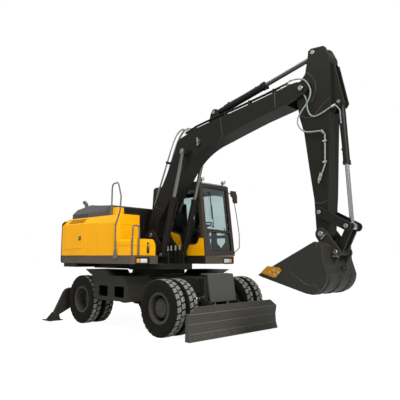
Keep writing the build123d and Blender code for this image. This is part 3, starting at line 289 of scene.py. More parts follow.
# Tyres
# Eight diagonal-ply tyres of carbon-black rubber, moulded and cured in a press: a smooth carcass
# with ribs on its sidewalls, whose bead sits on the rim, and two rows of interlocking blocks.
tyre_radius = 0.525
tyre_width = 0.25
front_hub_x, rear_hub_x = 1.455, -1.190


def alone(piece):
    """Selects one object and nothing else."""
    bpy.ops.object.select_all(action="DESELECT")
    piece.select_set(True)
    bpy.context.view_layer.objects.active = piece
    return piece


def modify(piece, kind, **settings):
    """Adds a modifier to a piece and applies it."""
    alone(piece)
    modifier = piece.modifiers.new(kind.lower(), kind)
    for name, value in settings.items():
        setattr(modifier, name, value)
    bpy.ops.object.modifier_apply(modifier=modifier.name)


def outline_piece(points, closed=True):
    """A new mesh object of one flat outline: a face where it is closed, else a line of edges."""
    mesh = bpy.data.meshes.new("outline")
    count = len(points)
    edges = [(i, i + 1) for i in range(count - 1)]
    mesh.from_pydata([tuple(p) for p in points], [] if closed else edges, [range(count)] if closed else [])
    piece = bpy.data.objects.new("outline", mesh)
    bpy.context.scene.collection.objects.link(piece)
    return alone(piece)


def spun(points, steps, axis=(0.0, 0.0, 1.0)):
    """An outline turned right round an axis through the origin, closed, with its normals outwards."""
    piece = outline_piece(points, closed=False)
    bpy.ops.object.mode_set(mode="EDIT")
    bpy.ops.mesh.select_all(action="SELECT")
    bpy.ops.mesh.spin(steps=steps, angle=2 * math.pi, center=(0.0, 0.0, 0.0), axis=axis)
    bpy.ops.mesh.select_all(action="SELECT")
    bpy.ops.mesh.remove_doubles(threshold=0.00005)
    bpy.ops.mesh.normals_make_consistent(inside=False)
    bpy.ops.object.mode_set(mode="OBJECT")
    return piece


def joined(pieces):
    """Several objects as one mesh."""
    bpy.ops.object.select_all(action="DESELECT")
    for piece in pieces:
        piece.select_set(True)
    bpy.context.view_layer.objects.active = pieces[0]
    if len(pieces) > 1:
        bpy.ops.object.join()
    return bpy.context.view_layer.objects.active


def copies(piece, places):
    """A piece copied to each place, given as matrices, each copy with its own mesh, and joined."""
    made = []
    for place in places:
        other = piece.copy()
        other.data = piece.data.copy()
        other.matrix_world = place @ piece.matrix_world
        bpy.context.scene.collection.objects.link(other)
        made.append(other)
    bpy.data.objects.remove(piece)
    return joined(made)


def fasten(piece, name, material, body, smooth=35):
    """A finished piece: named, its place moved into its mesh, dressed and riding on its body."""
    alone(piece)
    bpy.ops.object.transform_apply(location=True, rotation=True, scale=True)
    if smooth:
        bpy.ops.object.shade_smooth_by_angle(angle=math.radians(smooth))
    piece.name = name
    piece.data.name = name
    piece.data.materials.clear()
    piece.data.materials.append(material)
    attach(piece, body)
    return piece


def rubber(name, colour, shade, roughness, grain, crown=None):
    """Moulded rubber: dull, with a grain left by the mould and dust lying in it.

    On a tread, whose crown is a radius, only the faces that meet the ground have the colour, a painted
    highlight, and the faces below them are near black, a painted shade in the grooves. Both axles are
    measured at once, folded over the middle between them."""
    material, tree = new_material(name)
    place = add(tree, "ShaderNodeTexCoord", {})
    cloud = add(tree, "ShaderNodeTexNoise",
                {"Vector": place.outputs["Object"], "Scale": 9.0, "Detail": 6.0, "Roughness": 0.65})
    tint = add(tree, "ShaderNodeMix", {"Factor": cloud.outputs["Fac"], 6: linear(colour), 7: linear(shade)},
               data_type="RGBA")
    if crown:
        split = add(tree, "ShaderNodeSeparateXYZ", {0: place.outputs["Object"]})
        axles_middle, axles_half = (front_hub_x + rear_hub_x) / 2, (front_hub_x - rear_hub_x) / 2
        middle = add(tree, "ShaderNodeMath", {0: split.outputs["X"], 1: axles_middle}, operation="SUBTRACT")
        folded = add(tree, "ShaderNodeMath", {0: middle.outputs[0]}, operation="ABSOLUTE")
        along = add(tree, "ShaderNodeMath", {0: folded.outputs[0], 1: axles_half}, operation="SUBTRACT")
        up = add(tree, "ShaderNodeMath", {0: split.outputs["Z"], 1: tyre_radius}, operation="SUBTRACT")
        spoke = add(tree, "ShaderNodeCombineXYZ", {0: along.outputs[0], 1: up.outputs[0]})
        radius = add(tree, "ShaderNodeVectorMath", {0: spoke.outputs[0]}, operation="LENGTH")
        wear_and_lit_tread = add(tree, "ShaderNodeMapRange", {"Value": radius.outputs["Value"], "From Min": crown - 0.010,
                                                "From Max": crown - 0.003})
        tint = add(tree, "ShaderNodeMix", {"Factor": wear_and_lit_tread.outputs[0], 6: linear("#1A1916"),
                                           7: tint.outputs[2]}, data_type="RGBA")
    fine = add(tree, "ShaderNodeTexNoise",
               {"Vector": place.outputs["Object"], "Scale": 180.0, "Detail": 3.0, "Roughness": 0.6})
    bump = add(tree, "ShaderNodeBump", {"Height": fine.outputs["Fac"], "Strength": grain, "Distance": 0.001})
    skin = add(tree, "ShaderNodeBsdfPrincipled",
               {"Base Color": tint.outputs[2], "Normal": bump.outputs[0], "Roughness": roughness, "IOR": 1.52,
                "Specular IOR Level": 0.10})
    add(tree, "ShaderNodeOutputMaterial", {"Surface": skin.outputs[0]})
    return material


tyre_rubber = rubber("tyre rubber, moulded", "#0F0E0C", "#161512", 0.70, 0.25)
# The tread's grey on the faces that meet the ground is a painted highlight; the faces below it are painted
# near black as shade in the grooves.
tread_rubber = rubber("tread rubber, moulded, grey as a painted highlight", "#8B8A84", "#6B6A65", 0.82, 0.5,
                      crown=tyre_radius)
tread_base = 0.500
lugs_round = 27
lug_pitch = 2 * math.pi * tyre_radius / lugs_round
lug_gap = 0.024
lug_step = 0.014
lug_reach = 0.044
lug_sink = 0.004
groove_half = 0.004
shoulder_width = 0.090
shoulder_foot = 0.104
sidewall = [(0.079, 0.2685), (0.079, 0.292), (0.088, 0.297), (0.099, 0.300), (0.101, 0.306),
            (0.106, 0.318), (0.109, 0.322), (0.112, 0.322), (0.115, 0.336), (0.120, 0.362),
            (0.1235, 0.366), (0.1235, 0.372), (0.1225, 0.376), (0.1235, 0.392), (0.1240, 0.410),
            (0.1228, 0.428), (0.1238, 0.431), (0.1238, 0.436), (0.1210, 0.440), (0.1165, 0.468),
            (0.1075, 0.490), (0.096, 0.4985), (0.070, 0.501), (0.0, 0.502)]
carcass = spun([(w, 0.0, r) for w, r in sidewall] + [(-w, 0.0, r) for w, r in reversed(sidewall[:-1])],
               72, axis=(1.0, 0.0, 0.0))
carcass.rotation_euler = (0.0, 0.0, math.pi / 2)
alone(carcass)
bpy.ops.object.transform_apply(rotation=True)

right_edge = [(lug_reach, shoulder_foot), (lug_reach, 0.062), (lug_reach + lug_step, 0.050),
              (lug_reach + lug_step, 0.014)]
left_edge = [(s - lug_pitch + lug_gap, w) for s, w in right_edge]
lug_plan = right_edge + [(0.0, groove_half)] + left_edge[::-1]
lug = outline_piece([(s, w, tread_base - lug_sink) for s, w in lug_plan])
bpy.ops.object.mode_set(mode="EDIT")
bpy.ops.mesh.select_all(action="SELECT")
lug_height = tyre_radius - tread_base + lug_sink
bpy.ops.mesh.extrude_region_move(TRANSFORM_OT_translate={"value": (0, 0, lug_height)})
bpy.ops.transform.resize(value=(0.94, 0.90, 1.0), center_override=(-0.01, 0.045, tyre_radius))
bpy.ops.mesh.select_all(action="SELECT")
bpy.ops.mesh.normals_make_consistent(inside=False)
for cut in (-0.034, 0.0, 0.030):
    bpy.ops.mesh.select_all(action="SELECT")
    bpy.ops.mesh.bisect(plane_co=(cut, 0, 0), plane_no=(1, 0, 0))
bpy.ops.object.mode_set(mode="OBJECT")
modify(lug, "BEVEL", width=0.003, segments=1, limit_method="ANGLE", angle_limit=math.radians(50))
for vertex in lug.data.vertices:
    along_tread, radius = vertex.co.x, vertex.co.z
    if vertex.co.y > shoulder_width and radius > tread_base:
        radius -= (vertex.co.y - shoulder_width) * 0.9
    turn = along_tread / tyre_radius
    vertex.co = (radius * math.sin(turn), vertex.co.y, radius * math.cos(turn))
tread = copies(lug, [Matrix.Rotation(2 * math.pi * (i + half / 2) / lugs_round, 4, "Y")
                     @ Matrix.Rotation(math.pi * half, 4, "Z")
                     for half in (0, 1) for i in range(lugs_round)])

first_turn, row_turn = 0.05, 0.11
for end in ("front", "rear"):
    for hand in ("left", "right"):
        low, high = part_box(f"tyres_{end}_{hand}")
        hub = Vector(((low[0] + high[0]) / 2, 0.0, (low[2] + high[2]) / 2))
        rows = (low[1] + tyre_width / 2, high[1] - tyre_width / 2)
        places = [Matrix.Translation(hub + Vector((0.0, y, 0.0)))
                  @ Matrix.Rotation(first_turn + row_turn * row, 4, "Y") for row, y in enumerate(rows)]
        for model, name, material in ((carcass, "tyre_walls", tyre_rubber),
                                      (tread, "tyre_tread", tread_rubber)):
            piece = model.copy()
            piece.data = model.data.copy()
            bpy.context.scene.collection.objects.link(piece)
            piece = copies(piece, places)
            fasten(piece, f"{name}_{end}_{hand}", material, f"wheels_{end}_{hand}")
            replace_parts(piece, f"tyres_{end}_{hand}")
bpy.data.objects.remove(carcass)
bpy.data.objects.remove(tread)


# Nuts and bolts
# Hexagon heads on round washers, forged in steel and zinc plated, so they look bright and a
# little cloudy, or painted over with the part. Each stands on the face that it clamps.
def metal(name, colour, roughness, scratch, streak=(1.0, 1.0, 1.0)):
    """Bare or plated steel: its brightness wanders, and fine marks run along the streak."""
    material, tree = new_material(name)
    place = add(tree, "ShaderNodeTexCoord", {})
    stretched = add(tree, "ShaderNodeMapping", {"Vector": place.outputs["Object"], "Scale": streak})
    cloud = add(tree, "ShaderNodeTexNoise",
                {"Vector": stretched.outputs[0], "Scale": 60.0, "Detail": 4.0, "Roughness": 0.6})
    rough = add(tree, "ShaderNodeMapRange", {"Value": cloud.outputs["Fac"], "To Min": roughness - scratch,
                                             "To Max": roughness + scratch})
    bump = add(tree, "ShaderNodeBump", {"Height": cloud.outputs["Fac"], "Strength": 0.08, "Distance": 0.0004})
    steel = add(tree, "ShaderNodeBsdfPrincipled",
                {"Base Color": linear(colour), "Metallic": 1.0, "Roughness": rough.outputs[0],
                 "Normal": bump.outputs[0]})
    add(tree, "ShaderNodeOutputMaterial", {"Surface": steel.outputs[0]})
    return material


zinc = metal("zinc plated steel", "#B9B8B0", 0.42, 0.10)


def bolt(size):
    """One bolt head of a size across its flats, standing on the origin along +Z."""
    bpy.ops.object.select_all(action="DESELECT")
    bpy.ops.mesh.primitive_cylinder_add(vertices=20, radius=size * 0.82, depth=size * 0.16,
                                        location=(0, 0, size * 0.08))
    washer = bpy.context.object
    bpy.ops.mesh.primitive_cylinder_add(vertices=6, radius=size * 0.58, depth=size * 0.5,
                                        location=(0, 0, size * 0.4))
    head = bpy.context.object
    modify(head, "BEVEL", width=size * 0.06, segments=1)
    modify(washer, "BEVEL", width=size * 0.04, segments=1)
    whole = joined([washer, head])
    bpy.ops.object.transform_apply(location=True, rotation=True, scale=True)
    return whole


def facing(place, direction, turn=0.0):
    """A matrix that stands +Z along a direction at a place, turned about that direction."""
    return (Matrix.Translation(place) @ Vector(direction).to_track_quat("Z", "Y").to_matrix().to_4x4()
            @ Matrix.Rotation(turn, 4, "Z"))


def bolts(name, body, size, places, material=zinc):
    """Bolt heads at (place, direction) pairs, as one piece on one body."""
    stood = [facing(place, direction, 0.4 * count) for count, (place, direction) in enumerate(places)]
    return fasten(copies(bolt(size), stood), name, material, body, smooth=30)


def ring_places(centre, axis, radius, count):
    """Evenly spaced places round an axis, all facing along it."""
    axis = Vector(axis)
    across = axis.orthogonal().normalized()
    return [(Vector(centre) + Matrix.Rotation(2 * math.pi * i / count, 3, axis) @ (across * radius), axis)
            for i in range(count)]


for end, face_y, hub_radius in (("front", 1.165, 0.178), ("rear", 1.040, 0.150)):
    for hand, side in (("left", 1), ("right", -1)):
        low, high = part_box(f"wheel_{end}_{hand}")
        centre = Vector(((low[0] + high[0]) / 2, side * face_y, (low[2] + high[2]) / 2))
        bolts(f"hub_bolts_{end}_{hand}", f"wheels_{end}_{hand}", 0.022,
              ring_places(centre, (0, side, 0), hub_radius - 0.036, 12), wheel_enamel)
        cap = spun([(0.060, 0, 0), (0.060, 0, 0.010), (0.052, 0, 0.018), (0.020, 0, 0.020), (0.016, 0, 0.034),
                    (0, 0, 0.034)], 32)
        cap = copies(cap, [facing(centre, (0, side, 0))])
        fasten(cap, f"hub_cap_{end}_{hand}", wheel_enamel, f"wheels_{end}_{hand}")


# Pins
# Turned steel pins hold the links together. Their heads are plated and drilled, and flat bars on
# two bolts keep the bucket's two pins from turning.
def cube(low, high, rounding=0.0):
    """A block between two corners, its edges rounded."""
    bpy.ops.object.select_all(action="DESELECT")
    bpy.ops.mesh.primitive_cube_add(size=1.0, location=[(a + b) / 2 for a, b in zip(low, high)])
    piece = bpy.context.object
    piece.scale = [b - a for a, b in zip(low, high)]
    bpy.ops.object.transform_apply(location=True, rotation=True, scale=True)
    if rounding:
        modify(piece, "BEVEL", width=rounding, segments=2)
    return piece


def pin_head(radius):
    """A round head standing on the origin along +Z, its rim rounded and its middle drilled."""
    return spun([(radius, 0, 0), (radius, 0, 0.008), (radius * 0.90, 0, 0.013), (radius * 0.30, 0, 0.013),
                 (radius * 0.22, 0, 0.007), (0, 0, 0.007)], 28)


def keeper(radius):
    """A flat bar beside a pin head, on two bolts."""
    plate = cube((-0.055, radius + 0.010, 0.0), (0.055, radius + 0.036, 0.009), 0.002)
    heads = copies(bolt(0.016), [Matrix.Translation((x, radius + 0.023, 0.009)) for x in (-0.036, 0.036)])
    return joined([plate, heads])


def pins(name, body, joint, half, radius, turn=None):
    """Both heads of one pin through a joint of the boom's plane, with keepers where a turn is given."""
    centre = pivots[joint] if isinstance(joint, str) else Vector(joint)
    made = []
    for side in (-1, 1):
        spot = Vector((centre.x, boom_y + side * half, centre.z))
        made.append(copies(pin_head(radius), [facing(spot, (0, side, 0))]))
        if turn is not None:
            stand = Matrix.Translation(spot) @ Matrix.Rotation(math.radians(turn), 4, "Y")
            made.append(copies(keeper(radius), [stand @ Matrix.Rotation(-side * math.pi / 2, 4, "X")]))
    return fasten(joined(made), name, pin_steel, body, smooth=30)


boom_y = -0.100
boom_ram_eye = (1.200, 0.0, 3.620)
arm_ram_eye = (4.181, 0.0, 4.858)
link_pin = (4.699, 0.0, 1.925)
pin_steel = metal("pin steel, turned and plated", "#96938A", 0.42, 0.08)
pins("boom_foot_pin", "upper", "boom_lift", 0.262, 0.050)
pins("boom_ram_foot_pins", "upper", "boom_barrel_swing", 0.356, 0.040)
pins("boom_ram_eye_pins", "boom_rods", boom_ram_eye, 0.345, 0.040)
pins("arm_ram_foot_pin", "boom", "arm_barrel_swing", 0.122, 0.038)
pins("boom_tip_pin", "boom", "arm_swing", 0.215, 0.046)
pins("arm_ram_eye_pin", "arm", arm_ram_eye, 0.150, 0.038)
pins("bucket_ram_foot_pin", "arm", "bucket_barrel_swing", 0.098, 0.030)
pins("rocker_pin", "arm", "side_link_swing", 0.205, 0.036)
pins("link_pin", "side_links", link_pin, 0.214, 0.036)
pins("bucket_pin", "bucket", "bucket_curl", 0.208, 0.044, turn=135)
pins("bucket_link_pin", "bucket", "bucket_link_swing", 0.208, 0.040, turn=180)
for joint, name in (("blade_lift", "low"), ("blade_link_swing", "high")):
    heads = [facing(Vector((pivots[joint].x, side * 0.410, pivots[joint].z)), (0, side, 0))
             for side in (-1, 1)]
    fasten(copies(pin_head(0.028), heads), f"blade_pivot_pins_{name}", pin_steel, "chassis",
           smooth=30)

# Rams
# Drawn steel tubes, painted, with hard chromed and ground rods. A rubber wiper ring closes each
# tube round its rod, and a steel feed pipe runs along the tube on two clips.
ground_chrome = metal("hard chrome, ground along the rod", "#85837D", 0.30, 0.05, streak=(1.0, 1.0, 0.15))
# All three rods are the same hard chrome: the bucket ram's is painted lighter as a reflection, the arm ram's
# darker as painted shade.
lit_chrome = metal("hard chrome, lightened as a painted reflection", "#BFC2C3", 0.16, 0.03, streak=(1.0, 1.0, 0.15))
shaded_chrome = metal("hard chrome, darkened as painted shade", "#5E5D57", 0.34, 0.06, streak=(0.2, 1.0, 1.0))
black_rubber = rubber("black rubber, moulded seals", "#121211", "#191917", 0.55, 0.15)
dress(ground_chrome, "boom_ram_rods", "blade_ram_rods", "steering_rod", "outrigger_ram_rod_left",
      "outrigger_ram_rod_right")
dress(lit_chrome, "bucket_ram_rod")
dress(shaded_chrome, "arm_ram_rod")


def flow(points, radius, smooth=True, closed=False):
    """A round tube along a few points: a smooth line that bends past them, or straight runs."""
    curve = bpy.data.curves.new("flow", "CURVE")
    curve.dimensions = "3D"
    spline = curve.splines.new("NURBS" if smooth else "POLY")
    spline.points.add(len(points) - 1)
    for point, place in zip(spline.points, points):
        point.co = (*place, 1.0)
    spline.use_cyclic_u = closed
    if smooth:
        spline.order_u = 3
        spline.use_endpoint_u = not closed
        spline.resolution_u = 8
    curve.bevel_depth = radius
    curve.bevel_resolution = 3
    curve.use_fill_caps = not closed
    piece = bpy.data.objects.new("flow", curve)
    bpy.context.scene.collection.objects.link(piece)
    alone(piece)
    bpy.ops.object.convert(target="MESH")
    return bpy.context.object


def ram_dress(name, foot, eye, sides, length, radius, rod, feed, body):
    """The wiper ring and the feed pipe of the ram at each place across; the pipe stands off along feed."""
    foot, eye = Vector(foot), Vector(eye)
    way, off = (eye - foot).normalized(), Vector(feed).normalized()
    along_ram = Matrix((off, way.cross(off), way)).transposed().to_4x4()
    out_of_ram = Matrix((off.cross(way), way, off)).transposed().to_4x4()
    line = [(0.17, radius * 0.8), (0.19, radius + 0.022), (0.24, radius + 0.022),
            (length - 0.16, radius + 0.022), (length - 0.10, radius + 0.024), (length - 0.085, radius * 0.9)]
    rings, pipes = [], []
    for y in sides:
        start = Vector((foot.x, y, foot.z))
        ring = spun([(rod + 0.0015, 0, -0.010), (radius * 0.90, 0, -0.004), (radius * 0.86, 0, 0.002),
                     (rod + 0.008, 0, 0.005), (rod + 0.0015, 0, 0.005)], 32)
        rings.append(copies(ring, [facing(start + way * length, way)]))
        pipes.append(flow([start + way * along + off * out for along, out in line], 0.0085))
        for along in (0.32, length - 0.24):
            clip = cube((-0.014, -0.020, -0.016), (0.036, 0.020, 0.016), 0.003)
            spot = start + way * along + off * (radius + 0.002)
            pipes.append(copies(clip, [Matrix.Translation(spot) @ along_ram]))
        spot = start + way * (length - 0.085) + off * radius * 0.98
        pipes.append(copies(bolt(0.030), [Matrix.Translation(spot) @ out_of_ram]))
    fasten(joined(rings), f"{name}_wipers", black_rubber, body)
    fasten(joined(pipes), f"{name}_feeds", boom_enamel, body)


boom_ram_y = (boom_y - 0.300, boom_y + 0.300)
ram_dress("boom_rams", pivots["boom_barrel_swing"], boom_ram_eye, boom_ram_y, 1.245, 0.062, 0.038,
          (0.96, 0.0, -0.27), "boom_barrels")
ram_dress("arm_ram", pivots["arm_barrel_swing"], arm_ram_eye, (boom_y,), 1.240, 0.068, 0.040,
          (-0.22, 0.0, 0.97), "arm_barrel")
ram_dress("bucket_ram", pivots["bucket_barrel_swing"], link_pin, (boom_y,), 1.010, 0.054, 0.034,
          (-0.45, -0.89, 0.0), "bucket_barrel")

# Hoses and pipes
# Wire-braided hydraulic hose in a grey sleeve, crimped into plated ferrules. They loop loosely
# over the boom's tip and its foot, where the joints bend them, and are clamped elsewhere. A sleeved
# pipe runs down the arm to a plated valve.
sleeve = rubber("hose in a grey woven sleeve", "#8B918E", "#767C79", 0.50, 0.6)


def route(y, pairs):
    """Points of the boom's plane, given as (forward, up) in metres, at one place across."""
    return [Vector((x, y, z)) for x, z in pairs]


def ferrule(start, towards, radius):
    """A crimped end on a hose, from its start along its way."""
    ends = spun([(radius, 0, 0), (radius * 1.5, 0, 0.002), (radius * 1.5, 0, 0.036), (radius * 1.2, 0, 0.040),
                 (radius * 1.2, 0, 0.052), (radius * 1.7, 0, 0.054), (radius * 1.7, 0, 0.070),
                 (radius, 0, 0.072)], 12)
    return copies(ends, [facing(start, Vector(towards) - Vector(start))])


def hose(name, points, radius, first, second):
    """A hose from one body to the next, with a crimped end riding on each body."""
    piece = flow(points, radius)
    alone(piece)
    bpy.ops.object.shade_smooth()
    piece.name = name
    piece.data.name = name
    piece.data.materials.clear()
    piece.data.materials.append(sleeve)
    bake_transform(piece)
    fasten(ferrule(points[0], points[1], radius), f"{name}_start", zinc, first)
    fasten(ferrule(points[-1], points[-2], radius), f"{name}_end", zinc, second)


tip_hoses = (("tip_hose_right", -0.300, ((3.700, 4.452), (3.819, 4.470), (4.029, 4.425), (4.128, 4.293),
                                         (4.166, 4.145), (4.103, 4.008), (3.980, 3.883), (3.890, 3.765),
                                         (3.895, 3.640), (4.003, 3.511), (4.170, 3.479), (4.332, 3.474),
                                         (4.378, 3.420))),
             ("tip_hose_inner", -0.262, ((3.520, 4.422), (3.700, 4.440), (3.900, 4.330), (4.055, 4.090),
                                         (4.055, 3.948), (4.085, 3.818), (4.166, 3.739), (4.281, 3.751),
                                         (4.444, 3.818), (4.570, 3.860))),
             ("tip_hose_left", 0.090, ((3.700, 4.452), (3.860, 4.470), (4.060, 4.400), (4.150, 4.240),
                                       (4.120, 4.060), (4.090, 3.900), (4.160, 3.780), (4.300, 3.800),
                                       (4.450, 3.860), (4.560, 3.900))))
for name, y, pairs in tip_hoses:
    hose(name, route(y, pairs), 0.0125, "boom", "arm")
fasten(flow([(4.560, -0.262, 3.856), (4.605, -0.262, 3.810), (4.625, -0.215, 3.760), (4.605, -0.178, 3.650),
             (4.610, -0.172, 3.560)], 0.010), "bucket_feed_hose", sleeve, "bucket_barrel")
arm_pipe = [(4.375, -0.270, 3.420), (4.362, -0.270, 2.920), (4.290, -0.270, 2.760)]
fasten(flow(arm_pipe, 0.0125, smooth=False), "arm_pipe_sleeve", sleeve, "arm")
clips = [cube((x - 0.036, -0.288, z - 0.016), (x + 0.036, -0.262, z + 0.016), 0.004)
         for x, z in ((4.372, 3.300), (4.363, 2.960))]
valve = [cube((-0.026, -0.028, -0.062), (0.026, 0.004, 0.062), 0.006),
         cube((-0.014, -0.020, -0.100), (0.014, 0.000, -0.055), 0.005),
         copies(bolt(0.030), [facing((0.0, -0.026, 0.020), (0, -1, 0))])]
valve_place = Matrix.Translation((4.279, -0.272, 2.722)) @ Matrix.Rotation(math.radians(21), 4, "Y")
valve = copies(joined(valve), [valve_place])
fasten(joined([*clips, valve]), "arm_valve", zinc, "arm")
rim = spun([(0.050, 0, -0.012), (0.050, 0, 0.004), (0.043, 0, 0.006), (0, 0, 0.002)], 28)
rim = copies(rim, [facing((1.590, -0.336, 3.775), (0.97, 0, -0.23))])
lugs = copies(bolt(0.034), [facing((1.545, -0.338, 3.842), (0, -0.3, 1)),
                            facing((1.560, -0.338, 3.722), (0, -0.3, -1))])
fasten(joined([rim, lugs]), "boom_lamp_rim", zinc, "boom")
foot_lines = ((-0.175, ((1.120, 4.100), (0.960, 4.200), (0.800, 4.150), (0.640, 3.960), (0.470, 3.560),
                        (0.290, 3.150), (0.110, 2.760), (-0.040, 2.430), (-0.100, 2.150), (-0.180, 1.900),
                        (-0.330, 1.760))),
              (-0.135, ((1.120, 4.085), (1.000, 4.180), (0.870, 4.230), (0.700, 4.130), (0.560, 3.900),
                        (0.400, 3.560), (0.210, 3.140), (0.040, 2.760), (-0.080, 2.430), (-0.140, 2.150),
                        (-0.220, 1.900), (-0.360, 1.760))),
              (-0.020, ((1.120, 4.100), (0.980, 4.220), (0.800, 4.240), (0.600, 4.020), (0.420, 3.620),
                        (0.230, 3.200), (0.060, 2.800), (-0.070, 2.460), (-0.130, 2.150), (-0.210, 1.900),
                        (-0.350, 1.760))),
              (0.030, ((1.120, 4.085), (1.020, 4.200), (0.900, 4.290), (0.720, 4.200), (0.540, 3.960),
                       (0.360, 3.560), (0.180, 3.150), (0.020, 2.780), (-0.090, 2.440), (-0.150, 2.150),
                       (-0.230, 1.900), (-0.370, 1.760))))
for count, (y, pairs) in enumerate(foot_lines):
    hose(f"foot_hose_{count}", route(y, pairs), 0.0125, "boom", "upper")
clamp = cube((-0.020, -0.190, -0.022), (0.050, 0.045, 0.022), 0.006)
clamp = copies(clamp, [Matrix.Translation((0.425, 0.0, 3.540)) @ Matrix.Rotation(math.radians(28), 4, "Y")])
fasten(clamp, "foot_hose_clamp", black_rubber, "boom")

# Cab trim
# Tinted safety glass sits in moulded black rubber. A darker film crosses the top of the windscreen,
# the wiper stands upright on it, and the lamps, mirror and handles are bolted on.
def glass(name, tint):
    """Flat safety glass, tinted in the mass."""
    material, tree = new_material(name)
    pane = add(tree, "ShaderNodeBsdfPrincipled", {"Base Color": linear(tint), "Roughness": 0.0, "IOR": 1.45,
                                                  "Transmission Weight": 1.0})
    add(tree, "ShaderNodeOutputMaterial", {"Surface": pane.outputs[0]})
    return material


def plain(name, colour, roughness, coat=0.0, metallic=0.0):
    """A moulded or coated surface of one colour."""
    material, tree = new_material(name)
    place = add(tree, "ShaderNodeTexCoord", {})
    cloud = add(tree, "ShaderNodeTexNoise", {"Vector": place.outputs["Object"], "Scale": 40.0, "Detail": 4.0})
    rough = add(tree, "ShaderNodeMapRange", {"Value": cloud.outputs["Fac"], "To Min": roughness - 0.05,
                                             "To Max": roughness + 0.05})
    skin = add(tree, "ShaderNodeBsdfPrincipled", {"Base Color": linear(colour), "Roughness": rough.outputs[0],
                                                  "Coat Weight": coat, "Metallic": metallic})
    add(tree, "ShaderNodeOutputMaterial", {"Surface": skin.outputs[0]})
    return material


cab_tint = glass("tinted safety glass", "#D0DCDC")
visor_film = glass("dark sun film on glass", "#5F7F83")
black_plastic = plain("black plastic, moulded", "#151514", 0.45)
teal_plastic = plain("dark green plastic trim, moulded", "#132524", 0.5)
silver_paint = plain("silver lacquer on steel", "#B5B4AE", 0.30, coat=0.4, metallic=0.6)
clear_lens = plain("clear lamp lens, moulded", "#DCE2DC", 0.15, coat=1.0)
amber_lens = plain("amber lamp lens, moulded", "#F59A0C", 0.15, coat=1.0)
mirror_face = plain("mirror, silvered glass", "#D8DCDC", 0.06, metallic=1.0)
dress(cab_tint, "cab_glass", "cab_door_glass")
dress(black_plastic, "cab_controls")

screen_foot = Vector((1.190, 0.0, 1.490))
screen_up = Vector((-screen_normal[2], 0.0, screen_normal[0]))
screen_out = Vector(screen_normal)


def on_screen(y, up, out):
    """A point by the windscreen: across, up its slope and out from the cab's front face."""
    return screen_foot + screen_up * up + screen_out * out + Vector((0.0, y, 0.0))


def rounded(low, high, radius, place):
    """The corners of a rounded rectangle between (across, up) pairs, put in place by a function."""
    left, right = low[0] + radius, high[0] - radius
    bottom, top = low[1] + radius, high[1] - radius
    points = []
    for (x, y), start in (((right, top), 0), ((left, top), 90), ((left, bottom), 180),
                          ((right, bottom), 270)):
        for step in range(5):
            turn = math.radians(start + step * 22.5)
            points.append(place(x + radius * math.cos(turn), y + radius * math.sin(turn)))
    return points


screen_right, screen_left = 0.386, 1.146
seals = [flow(rounded((screen_right, low), (screen_left, high), 0.045,
                      lambda y, up: on_screen(y, up, -0.012)), 0.011, smooth=False, closed=True)
         for low, high in ((0.110, 0.515), (0.555, 1.525))]
side_window = ((-0.480, 2.090), (-0.480, 2.950), (0.906, 2.950), (1.043, 1.890), (0.980, 1.890),
               (0.935, 1.790), (0.870, 1.750), (0.470, 1.750), (0.400, 1.960), (0.340, 1.995), (0.050, 2.065))
seals.append(flow(route(0.303, side_window), 0.010, smooth=False, closed=True))
quarter_window = ((-0.520, 2.010), (-0.500, 2.950), (-0.070, 2.950), (-0.070, 2.010))
seals.append(flow(route(1.229, quarter_window), 0.010, smooth=False, closed=True))
rear_seal = rounded((0.416, 2.270), (1.116, 2.910), 0.060, lambda y, z: Vector((-0.627, y, z)))
seals.append(flow(rear_seal, 0.010, smooth=False, closed=True))
fasten(joined(seals), "cab_window_seals", black_rubber, "upper")
door_seals = [flow(route(1.222, pane), 0.009, smooth=False, closed=True) for pane in (
    ((0.090, 1.960), (0.090, 2.930), (0.854, 2.930), (0.979, 1.960)),
    ((0.090, 1.650), (0.090, 1.900), (0.987, 1.900), (1.019, 1.650)))]
fasten(joined(door_seals), "cab_door_seals", black_rubber, "cab_door")

film_right, film_left, film_low, film_high = screen_right + 0.012, screen_left - 0.012, 1.360, 1.520
film = outline_piece([on_screen(y, up, -0.034) for y, up in (
    (film_right, film_low), (film_left, film_low), (film_left, film_high), (film_right, film_high))])
modify(film, "SOLIDIFY", thickness=0.002)
fasten(film, "sun_film", visor_film, "upper", smooth=0)

wiper_y = 0.600
wiper = [flow([on_screen(wiper_y, 0.640, 0.004), on_screen(wiper_y, 0.660, 0.030),
               on_screen(wiper_y, 1.120, 0.024)], 0.007, smooth=False),
         flow([on_screen(wiper_y, 0.800, 0.002), on_screen(wiper_y, 1.420, 0.002)], 0.010, smooth=False),
         copies(pin_head(0.026), [facing(on_screen(wiper_y, 0.640, -0.002), screen_out)])]
fasten(joined(wiper), "windscreen_wiper", black_rubber, "upper")

roof_lamp_rings, roof_lamp_faces = [], []
for y in (0.420, 1.130):
    stand = facing((0.975, y, 3.182), (1, 0, 0))
    ring = spun([(0.046, 0, -0.075), (0.046, 0, 0.004), (0.042, 0, 0.006), (0.036, 0, 0.002),
                 (0.036, 0, -0.004)], 28)
    roof_lamp_rings.append(copies(ring, [stand]))
    face = spun([(0.037, 0, 0.000), (0.030, 0, 0.003), (0, 0, 0.005)], 28)
    roof_lamp_faces.append(copies(face, [stand]))
fasten(joined(roof_lamp_rings), "roof_lamp_shells", silver_paint, "upper")
fasten(joined(roof_lamp_faces), "roof_lamp_lenses", clear_lens, "upper")
fasten(cube((0.980, 1.400, 2.760), (0.985, 1.505, 2.960), 0.002), "mirror_face", mirror_face, "upper")

